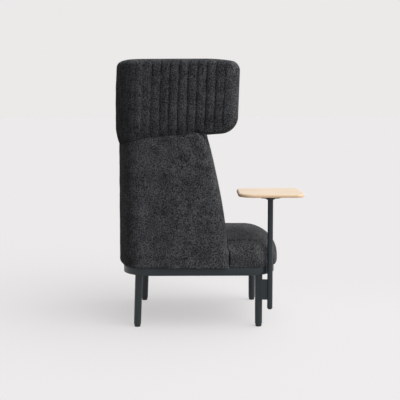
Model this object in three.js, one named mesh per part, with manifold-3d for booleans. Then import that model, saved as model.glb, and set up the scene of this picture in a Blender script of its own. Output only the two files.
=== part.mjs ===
// Acoustic high-back lounge chair with a swivelling side table, in millimetres, +Z up.
// The sitter faces -Y and the side table stands at the sitter's right hand, toward -X.
import * as THREE from 'three';
import { mergeVertices } from 'three/addons/utils/BufferGeometryUtils.js';
import Module from 'manifold-3d';

const wasm = await Module();
wasm.setup();

// Clearances
const CUT_OVERRUN = 20;            // how far a cutting body runs past the faces it cuts
const SEAT_GAP = 0.3;              // between pieces that are glued, welded or screwed together
const SOFT_GAP = 0.5;              // between two padded pieces that lean on each other
const SEAM_GAP = 2;                // between the shell's top edge and the hood's foot

// Base: a flat steel band bent to a closed ring, with two rails across it
const RING_HALF_WIDTH = 315;
const RING_HALF_LENGTH = 356;
const RING_CORNER = 140;
const RING_BAND = 6;
const RING_HEIGHT = 36.5;
const RING_EDGE = 1;
const RING_TOP = 286.5;            // upper edge of the ring above the floor
const RAIL_WIDTH = 40;
const RAIL_HEIGHT = 20;

// Legs and their push-in glides
const LEG_X = 266;
const LEG_FRONT_Y = -279;
const LEG_REAR_Y = 278;            // at the underside of the rear rail
const LEG_TOP_RADIUS = 17.5;
const LEG_FOOT_RADIUS = 16.7;
const REAR_RAKE_ANGLE = THREE.MathUtils.degToRad(2.4);
const GLIDE_RADIUS = 14.5;
const GLIDE_HEIGHT = 13;
const GLIDE_ROUND = 3;
const SPIGOT_RADIUS = 6;
const SPIGOT_LENGTH = 14;

// Bolts down through the rails into the legs, and up through the rails into the deck
const LEG_BOLT = { shank: 4, length: 52, head: 6.5, headHeight: 7, socket: 3, socketDepth: 4 };
const DECK_BOLT = { shank: 3, length: 31, head: 5.5, headHeight: 4, socket: 2, socketDepth: 2.4 };
const DECK_BOLT_X = 120;
const COUNTERBORE_PLAY = 1;

// Plan of the upholstered shell: straight sides, tight corners and a gently bowed back
const SHELL_HALF_WIDTH = 335;
const SHELL_BACK = 384;
const SHELL_BOW = 780;
const SHELL_CORNER = 75;
const SHELL_LEAN = 4;              // how much further back the shell stands at its foot
const SHELL_LEAN_TOP = 795;        // height above which its back is upright
const SHELL_FOOT_GAP = 2.5;        // shadow gap between the ring and the upholstery
const SHELL_PAD = 24;
const SHELL_BOARD = 12;
const SHELL_BOARD_DROP = 15;       // how far its top edge stays below the seam
const FOOT_ROUND = 9;
const EDGE_ROUND = 7;

// Front edge of a wing, from its foot up to the round shoulder
const WING_NOSE = 40;              // length of the rounded front edge
const WING_FOOT_FRONT = -142;
const WING_STEP_HEIGHT = 357;      // up to here the wing closes against the seat's side
const WING_SWEEP_HEIGHT = 380;
const WING_SWEEP_FRONT = -131.5;
const WING_SWEEP_SHARE = 1.5;      // power that bends the sweep
const WING_SHOULDER_HEIGHT = 863;
const WING_SHOULDER_FRONT = -47;
const WING_SHOULDER_ROUND = 42;

// Seam between the shell and the hood
const SEAM_HEIGHT = 897;
const SEAM_DIP = 52;               // how far the seam falls toward the middle of the back
const SEAM_DIP_START = 55;
const SEAM_DIP_SHARE = 2.3;        // power that bends the fall
const SEAM_LIP = 12;               // width of the hood's edge that closes on the shell
const SEAM_RELIEF = 8;             // height of the hollow behind that edge
const SHOULDER_PUFF = 14;          // the wing's shoulder swells this far over the seam
const SHOULDER_PUFF_Y = 12;
const SHOULDER_PUFF_REACH = 55;

// Sitter's side: free width between the wings, and the back's face at four heights
const INNER_HALF_WIDTH = 250;
const INNER_CORNER = 60;
const INNER_BOW = 600;
const WAIST_HEIGHT = 400;
const WAIST_BACK = 205;
const NECK_HEIGHT = 860;
const NECK_BACK = 288;
const HEAD_BACK = 300;
const INNER_ROUND = 7;
const INNER_ROUND_HEIGHT = 18;

// Hood: a second padded board that laps inside the shell board
const HOOD_TOP = 1239;
const HOOD_PROUD = 15;             // beyond the shell at the sides
const HOOD_BACK_PROUD = 15.5;      // beyond the shell at the back
const HOOD_BACK_DRAW = 12;         // how far the back's top edge draws in
const HOOD_DRAW_SHARE = 3;         // power that bends it
const HOOD_BOARD = 9;
const HOOD_LAP = 50;
const HOOD_LAP_STEP = 6;           // from the wing's padding back to the lapped tab
const HOOD_LIP = 20;               // padding over the board's upper and free lower edges
const HOOD_NOSE = 45;
const HOOD_FRONT_TOP = -189;
const HOOD_FRONT_FOOT = -178;
const HOOD_TOP_CORNER = 38;
const HOOD_FOOT_CORNER = 70;
const HOOD_TOP_DROP = 17;          // the top edge falls this much at the front
const HOOD_FOOT_RISE = 10;         // and the free lower edge rises this much
const HOOD_TOP_REACH = 160;        // length behind the front over which the top falls
const HOOD_FOOT_REACH = 150;       // and over which the lower edge rises
const HOOD_TOP_ROUND = 26;
const HOOD_FOOT_SWELL = 80;        // height over which the foot of the hood swells out
const HOOD_FOOT_INSET = 16;
const HOOD_FOOT_ROUND = 12;        // round of the free lower edge on the sitter's side

// Stitched vertical channels round the outside of the hood
const CHANNEL_PITCH = 41;
const CHANNEL_DEPTH = 7;
const CHANNEL_FRONT = -116;        // foremost groove at mid-height
const CHANNEL_LEAN = 9;            // how far a groove leans forward from mid-height to the top

// Screws that hold board to deck and board to board
const BOARD_SCREW = { shank: 2, length: 34, head: 4, headHeight: 2.4 };
const LAP_SCREW = { shank: 2, length: 18, head: 4, headHeight: 2.4 };
const BOARD_SCREW_Y = 190;
const BOARD_SCREW_FRONT_Y = 20;
const LAP_SCREW_Y = 210;
const LAP_SCREW_FRONT_Y = 90;
const LAP_SCREW_DROP = 25;

// Seat: plywood deck, base pad with soft shoulders, and a waterfall pad over it
const DECK_THICKNESS = 15;
const DECK_SKIRT = 14;             // padding in front of the deck's edge
const TONGUE_HALF_WIDTH = 225;
const TONGUE_CORNER = 25;
const BASE_PAD_HALF_WIDTH = 312;
const BASE_PAD_FRONT = -321;
const BASE_PAD_CORNER = 80;
const BASE_PAD_TOP = 405;
const BASE_PAD_SHOULDER = 72;
const TOP_PAD_HALF_WIDTH = 255;
const TOP_PAD_FRONT = -383;
const TOP_PAD_BOW = 1000;
const TOP_PAD_CORNER = 40;
const TOP_PAD_CROWN = 437;
const TOP_PAD_EDGE = 411;
const TOP_PAD_ROLL = 7;
const TOP_PAD_NOSE = 165;          // length over which the pad rolls down to its front
const TOP_PAD_NOSE_FOOT = 305;
const TOP_PAD_NOSE_SHARE = 2.15;   // power of the rolled front's curve

// Side table
const POLE_X = -286;
const POLE_Y = -330;
const POLE_RADIUS = 12.5;
const POLE_WALL = 2.5;
const POLE_FOOT = 94;
const CAP_DOME = 10;
const CAP_PLUG = 18;
const PLATE_THICKNESS = 6;
const PLATE_FOOT = 130.5;
const PLATE_HEIGHT = 96;
const PLATE_SET = 16;              // from the leg's axis outward to the plate's middle
const PLATE_BACK = 5;              // from the leg's axis forward to the plate's end
const TABLE_TOP = 633;
const TABLE_THICKNESS = 15;
const TABLE_LENGTH = 297;
const TABLE_WIDTH = 283;
const TABLE_CORNER = 40;
const TABLE_EDGE = 2.5;
const TABLE_OFFSET = 50.5;         // how far the pole stands outward of the table's middle
const SWIVEL_RADIUS = 48;
const SWIVEL_THICKNESS = 11.5;     // at the hub
const SWIVEL_RIM = 9.5;
const HUB_RADIUS = 22;
const HUB_HEIGHT = 6;
const SPINDLE_RADIUS = 6;
const SPINDLE_LENGTH = 44;
const SPINDLE_PLAY = 0.35;
const BUSH_FLANGE = 3;
const BUSH_LENGTH = 46;
const TABLE_SCREW = { shank: 2, length: 19, head: 4, headHeight: 2.4 };
const TABLE_SCREW_CIRCLE = 34;
const TABLE_SCREW_COUNT = 4;

// Facet counts
const ROUND_SIDES = 20;
const SCREW_SIDES = 10;
const BOW_STEPS = 3;
const CORNER_STEPS = 4;
const NOSE_STEPS = 3;              // on each side of the tip
const ARC_STEPS = 6;
const CROWN_STEPS = 3;

// Stops of the lofts, as shares of the lengths that they divide
const SIDE_SHARES = [0.05, 0.11, 0.45];
const OVERHANG_SHARES = [0.5, 0.68, 0.8, 0.9, 1];
const FOOT_SHARES = [0, 0.3, 1];
const SWEEP_SHARES = [0, 0.33, 0.67];
const SHOULDER_SHARES = [0.62, 0.81, 0.93, 1];
const SHOULDER_EDGE_SHARES = [0, 0, 0.25, 1];
const SWELL_SHARES = [0, 0.26, 1];
const SWELL_NOSE_SHARES = [0.25, 0.7, 1];
const SWELL_DEPTH_SHARES = [0.5, 0.9, 1];
const ROLL_SHARES = [1, 0.18, 0];
const ROLL_NOSE_SHARES = [1, 0.6, 0.3];
const ROLL_DEPTH_SHARES = [1, 0.75, 0.3];
const PAD_CORNER_SHARES = [0, 0.33, 0.67, 0.84, 1];
const CHANNEL_SHARES = [0, 0.24, 0.76];
const CHANNEL_DEPTH_SHARES = [1, 0, 0];
const CROWDING_SHARE = 0.06;       // least spacing of stops near the hood's front, in pitches

// Sizes that follow from the ones above
const DECK_TOP = RING_TOP + DECK_THICKNESS;
const SHELL_FOOT = RING_TOP + SHELL_FOOT_GAP;
const RAIL_FOOT = RING_TOP - RAIL_HEIGHT;
const SHELL_BOARD_FACE = SHELL_PAD + SEAT_GAP;
const SHELL_BOARD_BACK = SHELL_BOARD_FACE + SHELL_BOARD;
const HOOD_BOARD_FACE = SHELL_BOARD_BACK + SEAT_GAP;
const HOOD_BOARD_BACK = HOOD_BOARD_FACE + HOOD_BOARD;
const WING_TOP_FRONT = WING_SHOULDER_FRONT + WING_SHOULDER_ROUND + WING_NOSE;
const TAB_FRONT = WING_TOP_FRONT + HOOD_LAP_STEP;
const TABLE_FOOT = TABLE_TOP - TABLE_THICKNESS;
const SWIVEL_FOOT = TABLE_FOOT - SWIVEL_THICKNESS;
const HUB_FOOT = SWIVEL_FOOT - HUB_HEIGHT;
const POLE_TOP = HUB_FOOT - SEAT_GAP - BUSH_FLANGE;

const SHELL_PLAN = {
  halfWidth: SHELL_HALF_WIDTH,
  back: SHELL_BACK,
  bow: SHELL_BOW,
  corner: SHELL_CORNER,
};
const HOOD_PLAN = {
  halfWidth: SHELL_HALF_WIDTH + HOOD_PROUD,
  back: SHELL_BACK + HOOD_BACK_PROUD,
  bow: SHELL_BOW + HOOD_PROUD,
  corner: SHELL_CORNER + HOOD_PROUD,
};

// Materials
const FABRIC = { color: 0x36373a, roughness: 0.96, metalness: 0 };
const STEEL = { color: 0x3f464b, roughness: 0.45, metalness: 0.55 };
const ZINC = { color: 0xa6a8aa, roughness: 0.35, metalness: 0.9 };
const PLASTIC = { color: 0x1c1d1f, roughness: 0.5, metalness: 0 };
const PLYWOOD = { color: 0xc9a877, roughness: 0.7, metalness: 0 };
const VENEER = { color: 0xe6cfae, roughness: 0.5, metalness: 0 };

const { lerp, clamp } = THREE.MathUtils;

// ---- Solids: joining, cutting, lofting ----

// The solid of a closed geometry
function solidOf(geometry) {
  const bare = geometry.clone();
  bare.deleteAttribute('normal');
  bare.deleteAttribute('uv');
  const welded = mergeVertices(bare);
  return new wasm.Manifold(new wasm.Mesh({
    numProp: 3,
    vertProperties: new Float32Array(welded.attributes.position.array),
    triVerts: new Uint32Array(welded.index.array),
  }));
}

// The geometry of a solid
function geometryOf(solid) {
  const mesh = solid.getMesh();
  const geometry = new THREE.BufferGeometry();
  geometry.setAttribute('position', new THREE.BufferAttribute(mesh.vertProperties, 3));
  geometry.setIndex(new THREE.BufferAttribute(mesh.triVerts, 1));
  return geometry;
}

// A geometry with every cutter taken out of it
function cut(geometry, ...cutters) {
  return geometryOf(cutters.reduce((left, cutter) => left.subtract(solidOf(cutter)), solidOf(geometry)));
}

// Two overlapping geometries joined to one body
function join(first, second) {
  return geometryOf(solidOf(first).add(solidOf(second)));
}

// Triangles that close a loop, found on its flat view
function capFaces(row, flatten) {
  return THREE.ShapeUtils.triangulateShape(row.map(flatten), []);
}

// A closed solid through rows of matching loops, which turn left round the rows' direction
function loftBetween(rows, footFaces, topFaces) {
  const count = rows[0].length;
  const index = [];
  for (let row = 0; row < rows.length - 1; row += 1) {
    for (let place = 0; place < count; place += 1) {
      const a = row * count + place;
      const b = row * count + ((place + 1) % count);
      index.push(a, b, b + count);
      index.push(a, b + count, a + count);
    }
  }
  const last = (rows.length - 1) * count;
  footFaces.forEach(([a, b, c]) => index.push(c, b, a));
  topFaces.forEach(([a, b, c]) => index.push(a + last, b + last, c + last));
  const geometry = new THREE.BufferGeometry();
  const places = rows.flat().flatMap(({ x, y, z }) => [x, y, z]);
  geometry.setAttribute('position', new THREE.Float32BufferAttribute(places, 3));
  geometry.setIndex(index);
  return geometry;
}

// The same solid, with its ends closed on a flat view
function loft(rows, flatten = ({ x, y }) => new THREE.Vector2(x, y)) {
  return loftBetween(rows, capFaces(rows[0], flatten), capFaces(rows[rows.length - 1], flatten));
}

// A solid of revolution about a vertical axis through a point
function turned(profile, sides, x = 0, y = 0, z = 0) {
  const points = profile.map(([radius, height]) => new THREE.Vector2(radius, height));
  return new THREE.LatheGeometry(points, sides).rotateX(Math.PI / 2).translate(x, y, z);
}

// An upright cylinder between two heights
function rod(radius, foot, top, x, y, sides = ROUND_SIDES) {
  return turned([[0, foot], [radius, foot], [radius, top], [0, top]], sides, x, y);
}

// Evenly spaced shares of one, without its end
function evenShares(count) {
  return Array.from({ length: count }, (_, step) => step / count);
}

// Evenly spaced shares of one, without its start
function laterShares(count) {
  return Array.from({ length: count }, (_, step) => (step + 1) / count);
}

// How far a quarter round of a radius draws in at a distance from its flat end
function roundInset(distance, radius) {
  const left = clamp(radius - distance, 0, radius);
  return radius - Math.sqrt(radius ** 2 - left ** 2);
}

// ---- Curves that the padded pieces share ----

// Where a plan's bowed back, corner arc and straight side meet, and the arc's centre
function planMarks(plan) {
  const across = plan.halfWidth - plan.corner;
  const reach = Math.sqrt((plan.bow - plan.corner) ** 2 - across ** 2);
  const turn = Math.atan2(across, reach);
  const bowEnd = plan.bow * turn;
  return {
    turn,
    bowEnd,
    cornerEnd: bowEnd + plan.corner * (Math.PI / 2 - turn),
    cornerX: across,
    cornerY: plan.back - plan.bow + reach,
  };
}

// The point at a signed distance from the middle of the back, moved in by a depth
function placeOn(plan, distance, depth) {
  const marks = planMarks(plan);
  const side = distance < 0 ? -1 : 1;
  const along = Math.abs(distance);
  if (along >= marks.cornerEnd) {
    const y = marks.cornerY + marks.cornerEnd - along;
    return new THREE.Vector2(side * (plan.halfWidth - depth), y);
  }
  if (along > marks.bowEnd) {
    const angle = marks.turn + (along - marks.bowEnd) / plan.corner;
    const radius = plan.corner - depth;
    const x = marks.cornerX + radius * Math.sin(angle);
    return new THREE.Vector2(side * x, marks.cornerY + radius * Math.cos(angle));
  }
  const angle = along / plan.bow;
  const radius = plan.bow - depth;
  return new THREE.Vector2(
    side * radius * Math.sin(angle),
    plan.back - plan.bow + radius * Math.cos(angle),
  );
}

// Distance along a plan from the middle of its back to a place on its straight side
function distanceTo(plan, y) {
  const marks = planMarks(plan);
  return marks.cornerEnd + marks.cornerY - y;
}

// A point of a wall in plan. Its station is the place along the shell that sets its height,
// so that a wall's outer and inner faces rise and fall together.
function wallPoint({ x, y }, station = y) {
  return { x, y, station };
}

// The same points on the -X side, in the order that carries on round the wall
function mirrored(points) {
  return points.map(({ x, y, station }) => ({ x: -x, y, station })).reverse();
}

// Stops along one half of a plan, from its front to just before the middle of the back
function halfStops(plan, front, leadShares) {
  const marks = planMarks(plan);
  const places = [
    front,
    ...leadShares.map((share) => lerp(front, WING_TOP_FRONT, share)),
    ...SIDE_SHARES.map((share) => lerp(WING_TOP_FRONT, marks.cornerY, share)),
  ];
  return [
    ...places.map((y) => distanceTo(plan, y)),
    ...evenShares(CORNER_STEPS).map((share) => lerp(marks.cornerEnd, marks.bowEnd, share)),
    ...evenShares(BOW_STEPS).map((share) => lerp(marks.bowEnd, 0, share)),
  ];
}

// A plan's outline from its +X front end round the back to its -X front end, with stops
// where the seam turns and, on what overhangs the wings, more of them toward its front
function chain(plan, front, depth, leadShares = []) {
  const stations = [...halfStops(SHELL_PLAN, front, leadShares), 0]
    .map((distance) => placeOn(SHELL_PLAN, distance, 0).y);
  const points = [...halfStops(plan, front, leadShares), 0]
    .map((distance, stop) => wallPoint(placeOn(plan, distance, depth), stations[stop]));
  return [...points, ...mirrored(points.slice(0, -1))];
}

// Half of a wall's rounded front edge on the +X side: from the tip to just before the face
function noseHalf(front, length, outer, inner) {
  const middle = (outer + inner) / 2;
  return evenShares(NOSE_STEPS).map((share) => Math.PI * (1 - share) / 2).map((angle) => wallPoint({
    x: middle + (outer - middle) * Math.cos(angle),
    y: front + length * (1 - Math.sin(angle)),
  }));
}

// A wall outline with rounded front edges, of an outer and an inner face
function nosed(front, length, outer, inner, outerFace, innerFace) {
  const outerNose = noseHalf(front, length, outer, inner);
  const innerNose = noseHalf(front, length, inner, outer).slice(1);
  return {
    outer: [...outerNose, ...outerFace, ...mirrored(outerNose)],
    inner: [...innerNose, ...innerFace, ...mirrored(innerNose)],
  };
}

// Triangles between a wall's outer and inner outline, stepping along both by station
function stripFaces(outer, inner) {
  const order = ({ x, station }) => (x < 0 ? 2 * SHELL_BACK - station : station);
  const innerIndex = (place) => outer.length + inner.length - 1 - place;
  const faces = [];
  let out = 0;
  let back = 0;
  while (out < outer.length - 1 || back < inner.length - 1) {
    const outerDone = out === outer.length - 1;
    const innerDone = back === inner.length - 1;
    if (innerDone || (!outerDone && order(outer[out + 1]) <= order(inner[back + 1]))) {
      faces.push([out, out + 1, innerIndex(back)]);
      out += 1;
    } else {
      faces.push([out, innerIndex(back + 1), innerIndex(back)]);
      back += 1;
    }
  }
  return faces;
}

// A U-shaped wall through rows, each with an outer and an inner outline and a level
function wallLoft(rows) {
  const loops = rows.map(({ outer, inner, level }) => raise([...outer, ...[...inner].reverse()], level));
  const last = rows[rows.length - 1];
  return loftBetween(
    loops,
    stripFaces(rows[0].outer, rows[0].inner),
    stripFaces(last.outer, last.inner),
  );
}

// The sitter's side of the wings and back at a height, swelling into the room at the waist
function innerPlan(height) {
  const share = clamp((height - WAIST_HEIGHT) / (NECK_HEIGHT - WAIST_HEIGHT), 0, 1);
  const above = clamp((height - NECK_HEIGHT) / (HOOD_TOP - NECK_HEIGHT), 0, 1);
  const bend = (1 - Math.cos(Math.PI * share)) / 2;
  const sweep = lerp(WAIST_BACK, NECK_BACK, (share + bend) / 2);
  return {
    halfWidth: INNER_HALF_WIDTH,
    back: sweep + (HEAD_BACK - NECK_BACK) * above,
    bow: INNER_BOW,
    corner: INNER_CORNER,
  };
}

// Front edge of a wing at a height
function wingFront(height) {
  if (height <= WING_STEP_HEIGHT) {
    return WING_FOOT_FRONT;
  }
  const sweepHeight = WING_SHOULDER_HEIGHT - WING_SWEEP_HEIGHT;
  const share = clamp((height - WING_SWEEP_HEIGHT) / sweepHeight, 0, 1);
  const sweep = lerp(WING_SWEEP_FRONT, WING_SHOULDER_FRONT, share ** WING_SWEEP_SHARE);
  const left = WING_SHOULDER_HEIGHT + WING_SHOULDER_ROUND - height;
  return sweep + roundInset(left, WING_SHOULDER_ROUND);
}

// Height of the seam at a place on the side or the back, without the shoulder's swell
function seamLine(y) {
  const share = clamp((y - SEAM_DIP_START) / (SHELL_BACK - SEAM_DIP_START), 0, 1);
  return SEAM_HEIGHT - SEAM_DIP * share ** SEAM_DIP_SHARE;
}

// Height of the shell's top edge
function shellTop(y) {
  const away = clamp(Math.abs(y - SHOULDER_PUFF_Y) / SHOULDER_PUFF_REACH, 0, 1);
  return seamLine(y) + SHOULDER_PUFF * (1 - away ** 2) ** 2;
}

// Height of the hood's lower edge, which rises toward its free front
function hoodFoot(y) {
  const share = clamp((HOOD_FRONT_FOOT + HOOD_FOOT_REACH - y) / HOOD_FOOT_REACH, 0, 1);
  return shellTop(y) + SEAM_GAP + HOOD_FOOT_RISE * share;
}

// Height of the hood's top edge, which falls a little toward its front
function hoodTop(y) {
  const share = clamp((HOOD_FRONT_TOP + HOOD_TOP_REACH - y) / HOOD_TOP_REACH, 0, 1);
  return HOOD_TOP - HOOD_TOP_DROP * share ** 2;
}

// The hood's front line at a share of its height, before its corners are rounded
function hoodFront(share) {
  return lerp(HOOD_FRONT_FOOT, HOOD_FRONT_TOP, share);
}

// Points in plan raised to a level that can follow their station, with the shell's lean
function raise(points, level) {
  return points.map(({ x, y, station }) => {
    const z = level(station);
    const lean = clamp((SHELL_LEAN_TOP - z) / (SHELL_LEAN_TOP - SHELL_FOOT), 0, Infinity);
    const back = clamp(y / SHELL_BACK, 0, 1);
    return new THREE.Vector3(x, y + SHELL_LEAN * lean * back, z);
  });
}

// Heights at which the wings' front edge turns, up to where the lean ends
function wingHeights() {
  const sweep = SWEEP_SHARES.map((share) => lerp(WING_SWEEP_HEIGHT, SHELL_LEAN_TOP, share));
  return [WING_STEP_HEIGHT, ...sweep, SHELL_LEAN_TOP];
}

// Height at which a row of the shoulder reads the wing's front edge
function shoulderHeight(share) {
  return lerp(SHELL_LEAN_TOP, WING_SHOULDER_HEIGHT + WING_SHOULDER_ROUND, share);
}

// Level of a row between the end of the lean and the shell's top edge
function shoulderLevel(share) {
  return (y) => lerp(SHELL_LEAN_TOP, shellTop(y), share);
}

// ---- Base ----

// Outline of the ring, moved in by a depth
function ringOutline(depth) {
  const outline = new THREE.Shape();
  const x = RING_HALF_WIDTH - RING_CORNER;
  const y = RING_HALF_LENGTH - RING_CORNER;
  const radius = RING_CORNER - depth;
  outline.absarc(x, y, radius, 0, Math.PI / 2);
  outline.absarc(-x, y, radius, Math.PI / 2, Math.PI);
  outline.absarc(-x, -y, radius, Math.PI, Math.PI * 1.5);
  outline.absarc(x, -y, radius, Math.PI * 1.5, Math.PI * 2);
  return outline;
}

// The band, with its edges broken
function baseRing() {
  const band = ringOutline(RING_EDGE);
  band.holes.push(ringOutline(RING_BAND - RING_EDGE));
  const geometry = new THREE.ExtrudeGeometry(band, {
    depth: RING_HEIGHT - 2 * RING_EDGE,
    curveSegments: ARC_STEPS,
    bevelThickness: RING_EDGE,
    bevelSize: RING_EDGE,
    bevelSegments: 1,
  });
  return geometry.translate(0, 0, RING_TOP - RING_HEIGHT + RING_EDGE);
}

// A rail across the ring under the deck, its ends cut to the ring's inside
function crossRail(y) {
  const bar = new THREE.BoxGeometry(RING_HALF_WIDTH * 2, RAIL_WIDTH, RAIL_HEIGHT);
  bar.translate(0, y, RING_TOP - RAIL_HEIGHT / 2);
  const inside = new THREE.ExtrudeGeometry(ringOutline(RING_BAND + SEAT_GAP), {
    depth: RAIL_HEIGHT + 2 * CUT_OVERRUN,
    curveSegments: ARC_STEPS,
    bevelEnabled: false,
  }).translate(0, 0, RAIL_FOOT - CUT_OVERRUN);
  const trimmed = geometryOf(solidOf(bar).intersect(solidOf(inside)));
  const holes = [-1, 1].flatMap((side) => [
    ...boltHole(LEG_BOLT, side * LEG_X, y),
    rod(DECK_BOLT.shank + SEAT_GAP, RAIL_FOOT - CUT_OVERRUN, RING_TOP + CUT_OVERRUN,
      side * DECK_BOLT_X, y, SCREW_SIDES),
  ]);
  return cut(trimmed, ...holes);
}

// Clearance hole and counterbore for a bolt that goes down through a rail
function boltHole(bolt, x, y) {
  const seat = RING_TOP - bolt.headHeight - SEAT_GAP;
  return [
    rod(bolt.shank + SEAT_GAP, RAIL_FOOT - CUT_OVERRUN, RING_TOP + CUT_OVERRUN, x, y, SCREW_SIDES),
    rod(bolt.head + COUNTERBORE_PLAY, seat - SEAT_GAP, RING_TOP + CUT_OVERRUN, x, y, SCREW_SIDES),
  ];
}

// How far a leg's foot stands behind its top
function footShift(rear) {
  return rear ? Math.tan(REAR_RAKE_ANGLE) * (RAIL_FOOT - GLIDE_HEIGHT) : 0;
}

// A tapered leg, cut level at both ends, with a bolt hole above and a glide hole below
function leg(x, y, rear) {
  const ring = (radius, centreY, z) => evenShares(ROUND_SIDES).map((share) => new THREE.Vector3(
    x + radius * Math.cos(2 * Math.PI * share),
    centreY + radius * Math.sin(2 * Math.PI * share),
    z,
  ));
  const footY = y + footShift(rear);
  const body = loft([ring(LEG_FOOT_RADIUS, footY, GLIDE_HEIGHT), ring(LEG_TOP_RADIUS, y, RAIL_FOOT)]);
  const boltFoot = RING_TOP - LEG_BOLT.length - SEAT_GAP;
  return cut(
    body,
    rod(LEG_BOLT.shank + SEAT_GAP, boltFoot - SEAT_GAP, RAIL_FOOT + CUT_OVERRUN, x, y, SCREW_SIDES),
    rod(SPIGOT_RADIUS + SEAT_GAP, GLIDE_HEIGHT - CUT_OVERRUN,
      GLIDE_HEIGHT + SPIGOT_LENGTH + SEAT_GAP, x, footY),
  );
}

// A plastic glide with its spigot
function glide(x, y) {
  const flat = GLIDE_RADIUS - GLIDE_ROUND;
  const round = laterShares(NOSE_STEPS).map((share) => {
    const angle = share * (Math.PI / 2);
    return [flat + GLIDE_ROUND * Math.sin(angle), GLIDE_ROUND * (1 - Math.cos(angle))];
  });
  const top = GLIDE_HEIGHT + SPIGOT_LENGTH;
  return turned([
    [0, 0],
    [flat, 0],
    ...round,
    [GLIDE_RADIUS, GLIDE_HEIGHT],
    [SPIGOT_RADIUS, GLIDE_HEIGHT],
    [SPIGOT_RADIUS, top],
    [0, top],
  ], ROUND_SIDES, x, y);
}

// A socket-head bolt whose head's top is at the origin and whose shank points down
function bolt(spec) {
  return turned([
    [0, -spec.length],
    [spec.shank, -spec.length],
    [spec.shank, -spec.headHeight],
    [spec.head, -spec.headHeight],
    [spec.head, 0],
    [spec.socket, 0],
    [spec.socket, -spec.socketDepth],
    [0, -spec.socketDepth],
  ], SCREW_SIDES);
}

// A countersunk screw whose flat head is at the origin and whose point is down
function screw(spec) {
  return turned([
    [0, -spec.length],
    [spec.shank, -spec.length + spec.shank],
    [spec.shank, -spec.headHeight],
    [spec.head, 0],
    [0, 0],
  ], SCREW_SIDES);
}

// The room that a countersunk screw takes, from beyond its head to its point
function screwRoom(spec) {
  const wide = spec.head + SEAT_GAP;
  return turned([
    [0, -spec.length - SEAT_GAP],
    [spec.shank + SEAT_GAP, -spec.length - SEAT_GAP],
    [spec.shank + SEAT_GAP, -spec.headHeight],
    [wide, 0],
    [wide, CUT_OVERRUN],
    [0, CUT_OVERRUN],
  ], SCREW_SIDES);
}

// ---- Boards ----

// The plywood deck, with the tongue that carries the seat's rolled front
function deckLoop(growth) {
  const depth = HOOD_BOARD_FACE - growth;
  const rear = chain(SHELL_PLAN, BASE_PAD_FRONT + BASE_PAD_CORNER, depth);
  const cornerX = BASE_PAD_HALF_WIDTH - BASE_PAD_CORNER;
  const radius = SHELL_HALF_WIDTH - depth - cornerX;
  const corner = laterShares(CORNER_STEPS).map((share) => {
    const angle = share * (Math.PI / 2);
    return wallPoint({
      x: cornerX + radius * Math.cos(angle),
      y: BASE_PAD_FRONT + BASE_PAD_CORNER - radius * Math.sin(angle),
    });
  });
  const tongueX = TONGUE_HALF_WIDTH + growth;
  const bow = TOP_PAD_BOW - DECK_SKIRT + growth;
  const bowed = (x) => TOP_PAD_FRONT + DECK_SKIRT - growth + bow - Math.sqrt(bow ** 2 - x ** 2);
  const round = TONGUE_CORNER + growth;
  const inner = tongueX - round;
  const tongue = [
    wallPoint({ x: tongueX, y: corner[corner.length - 1].y }),
    ...evenShares(NOSE_STEPS).map((share) => {
      const angle = share * (Math.PI / 2);
      return wallPoint({
        x: inner + round * Math.cos(angle),
        y: bowed(inner) + round * (1 - Math.sin(angle)),
      });
    }),
    wallPoint({ x: inner, y: bowed(inner) }),
    wallPoint({ x: inner / 2, y: bowed(inner / 2) }),
  ];
  const half = [...corner, ...tongue];
  return [...rear, ...mirrored(half).reverse(), wallPoint({ x: 0, y: bowed(0) }), ...half.reverse()];
}

// The deck's solid between two heights
function deckBody(growth, foot, top) {
  return loft([foot, top].map((z) => raise(deckLoop(growth), () => z)));
}

// The room that the deck takes, which the padding round it keeps clear of
function deckRoom() {
  return deckBody(SEAT_GAP, RING_TOP - CUT_OVERRUN, DECK_TOP + SEAT_GAP);
}

function seatDeck() {
  const pilots = [LEG_FRONT_Y, LEG_REAR_Y].flatMap((y) => [-1, 1].map((side) => rod(
    DECK_BOLT.shank + SEAT_GAP, RING_TOP - CUT_OVERRUN,
    RAIL_FOOT + DECK_BOLT.length - DECK_BOLT.headHeight + SEAT_GAP,
    side * DECK_BOLT_X, y, SCREW_SIDES,
  )));
  return cut(deckBody(0, RING_TOP, DECK_TOP), ...pilots, ...boardScrews().map(roomOf));
}

// The bent plywood that stands round the deck and carries the wings and the back
function shellBoard() {
  const row = (height, level) => {
    const front = wingFront(height) + WING_NOSE + SEAT_GAP;
    return {
      outer: chain(SHELL_PLAN, front, SHELL_BOARD_FACE),
      inner: chain(SHELL_PLAN, front, SHELL_BOARD_BACK),
      level,
    };
  };
  const body = wallLoft([
    row(SHELL_FOOT, () => SHELL_FOOT),
    ...wingHeights().map((z) => row(z, () => z)),
    row(SEAM_HEIGHT, (station) => seamLine(station) - SHELL_BOARD_DROP),
  ]);
  return cut(body, ...boardScrews().map(roomOf), ...lapScrews().map(roomOf));
}

// The hood's board above its lip, joined to the tab that laps inside the shell board
function hoodBoard() {
  const share = HOOD_LIP / (HOOD_TOP - SEAM_HEIGHT);
  const row = (place, level) => {
    const front = hoodFront(place) + HOOD_NOSE + SEAT_GAP;
    return {
      outer: chain(SHELL_PLAN, front, HOOD_BOARD_FACE, OVERHANG_SHARES),
      inner: chain(SHELL_PLAN, front, HOOD_BOARD_BACK, OVERHANG_SHARES),
      level,
    };
  };
  const body = wallLoft([
    row(share, (station) => hoodFoot(station) + HOOD_LIP + SOFT_GAP),
    row(1 - share, (station) => hoodTop(station) - HOOD_LIP - SOFT_GAP),
  ]);
  const tab = hoodTab(HOOD_BOARD_FACE, HOOD_BOARD_BACK, TAB_FRONT, 0, HOOD_LIP * 2);
  return cut(join(body, tab), ...lapScrews().map(roomOf));
}

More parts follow.
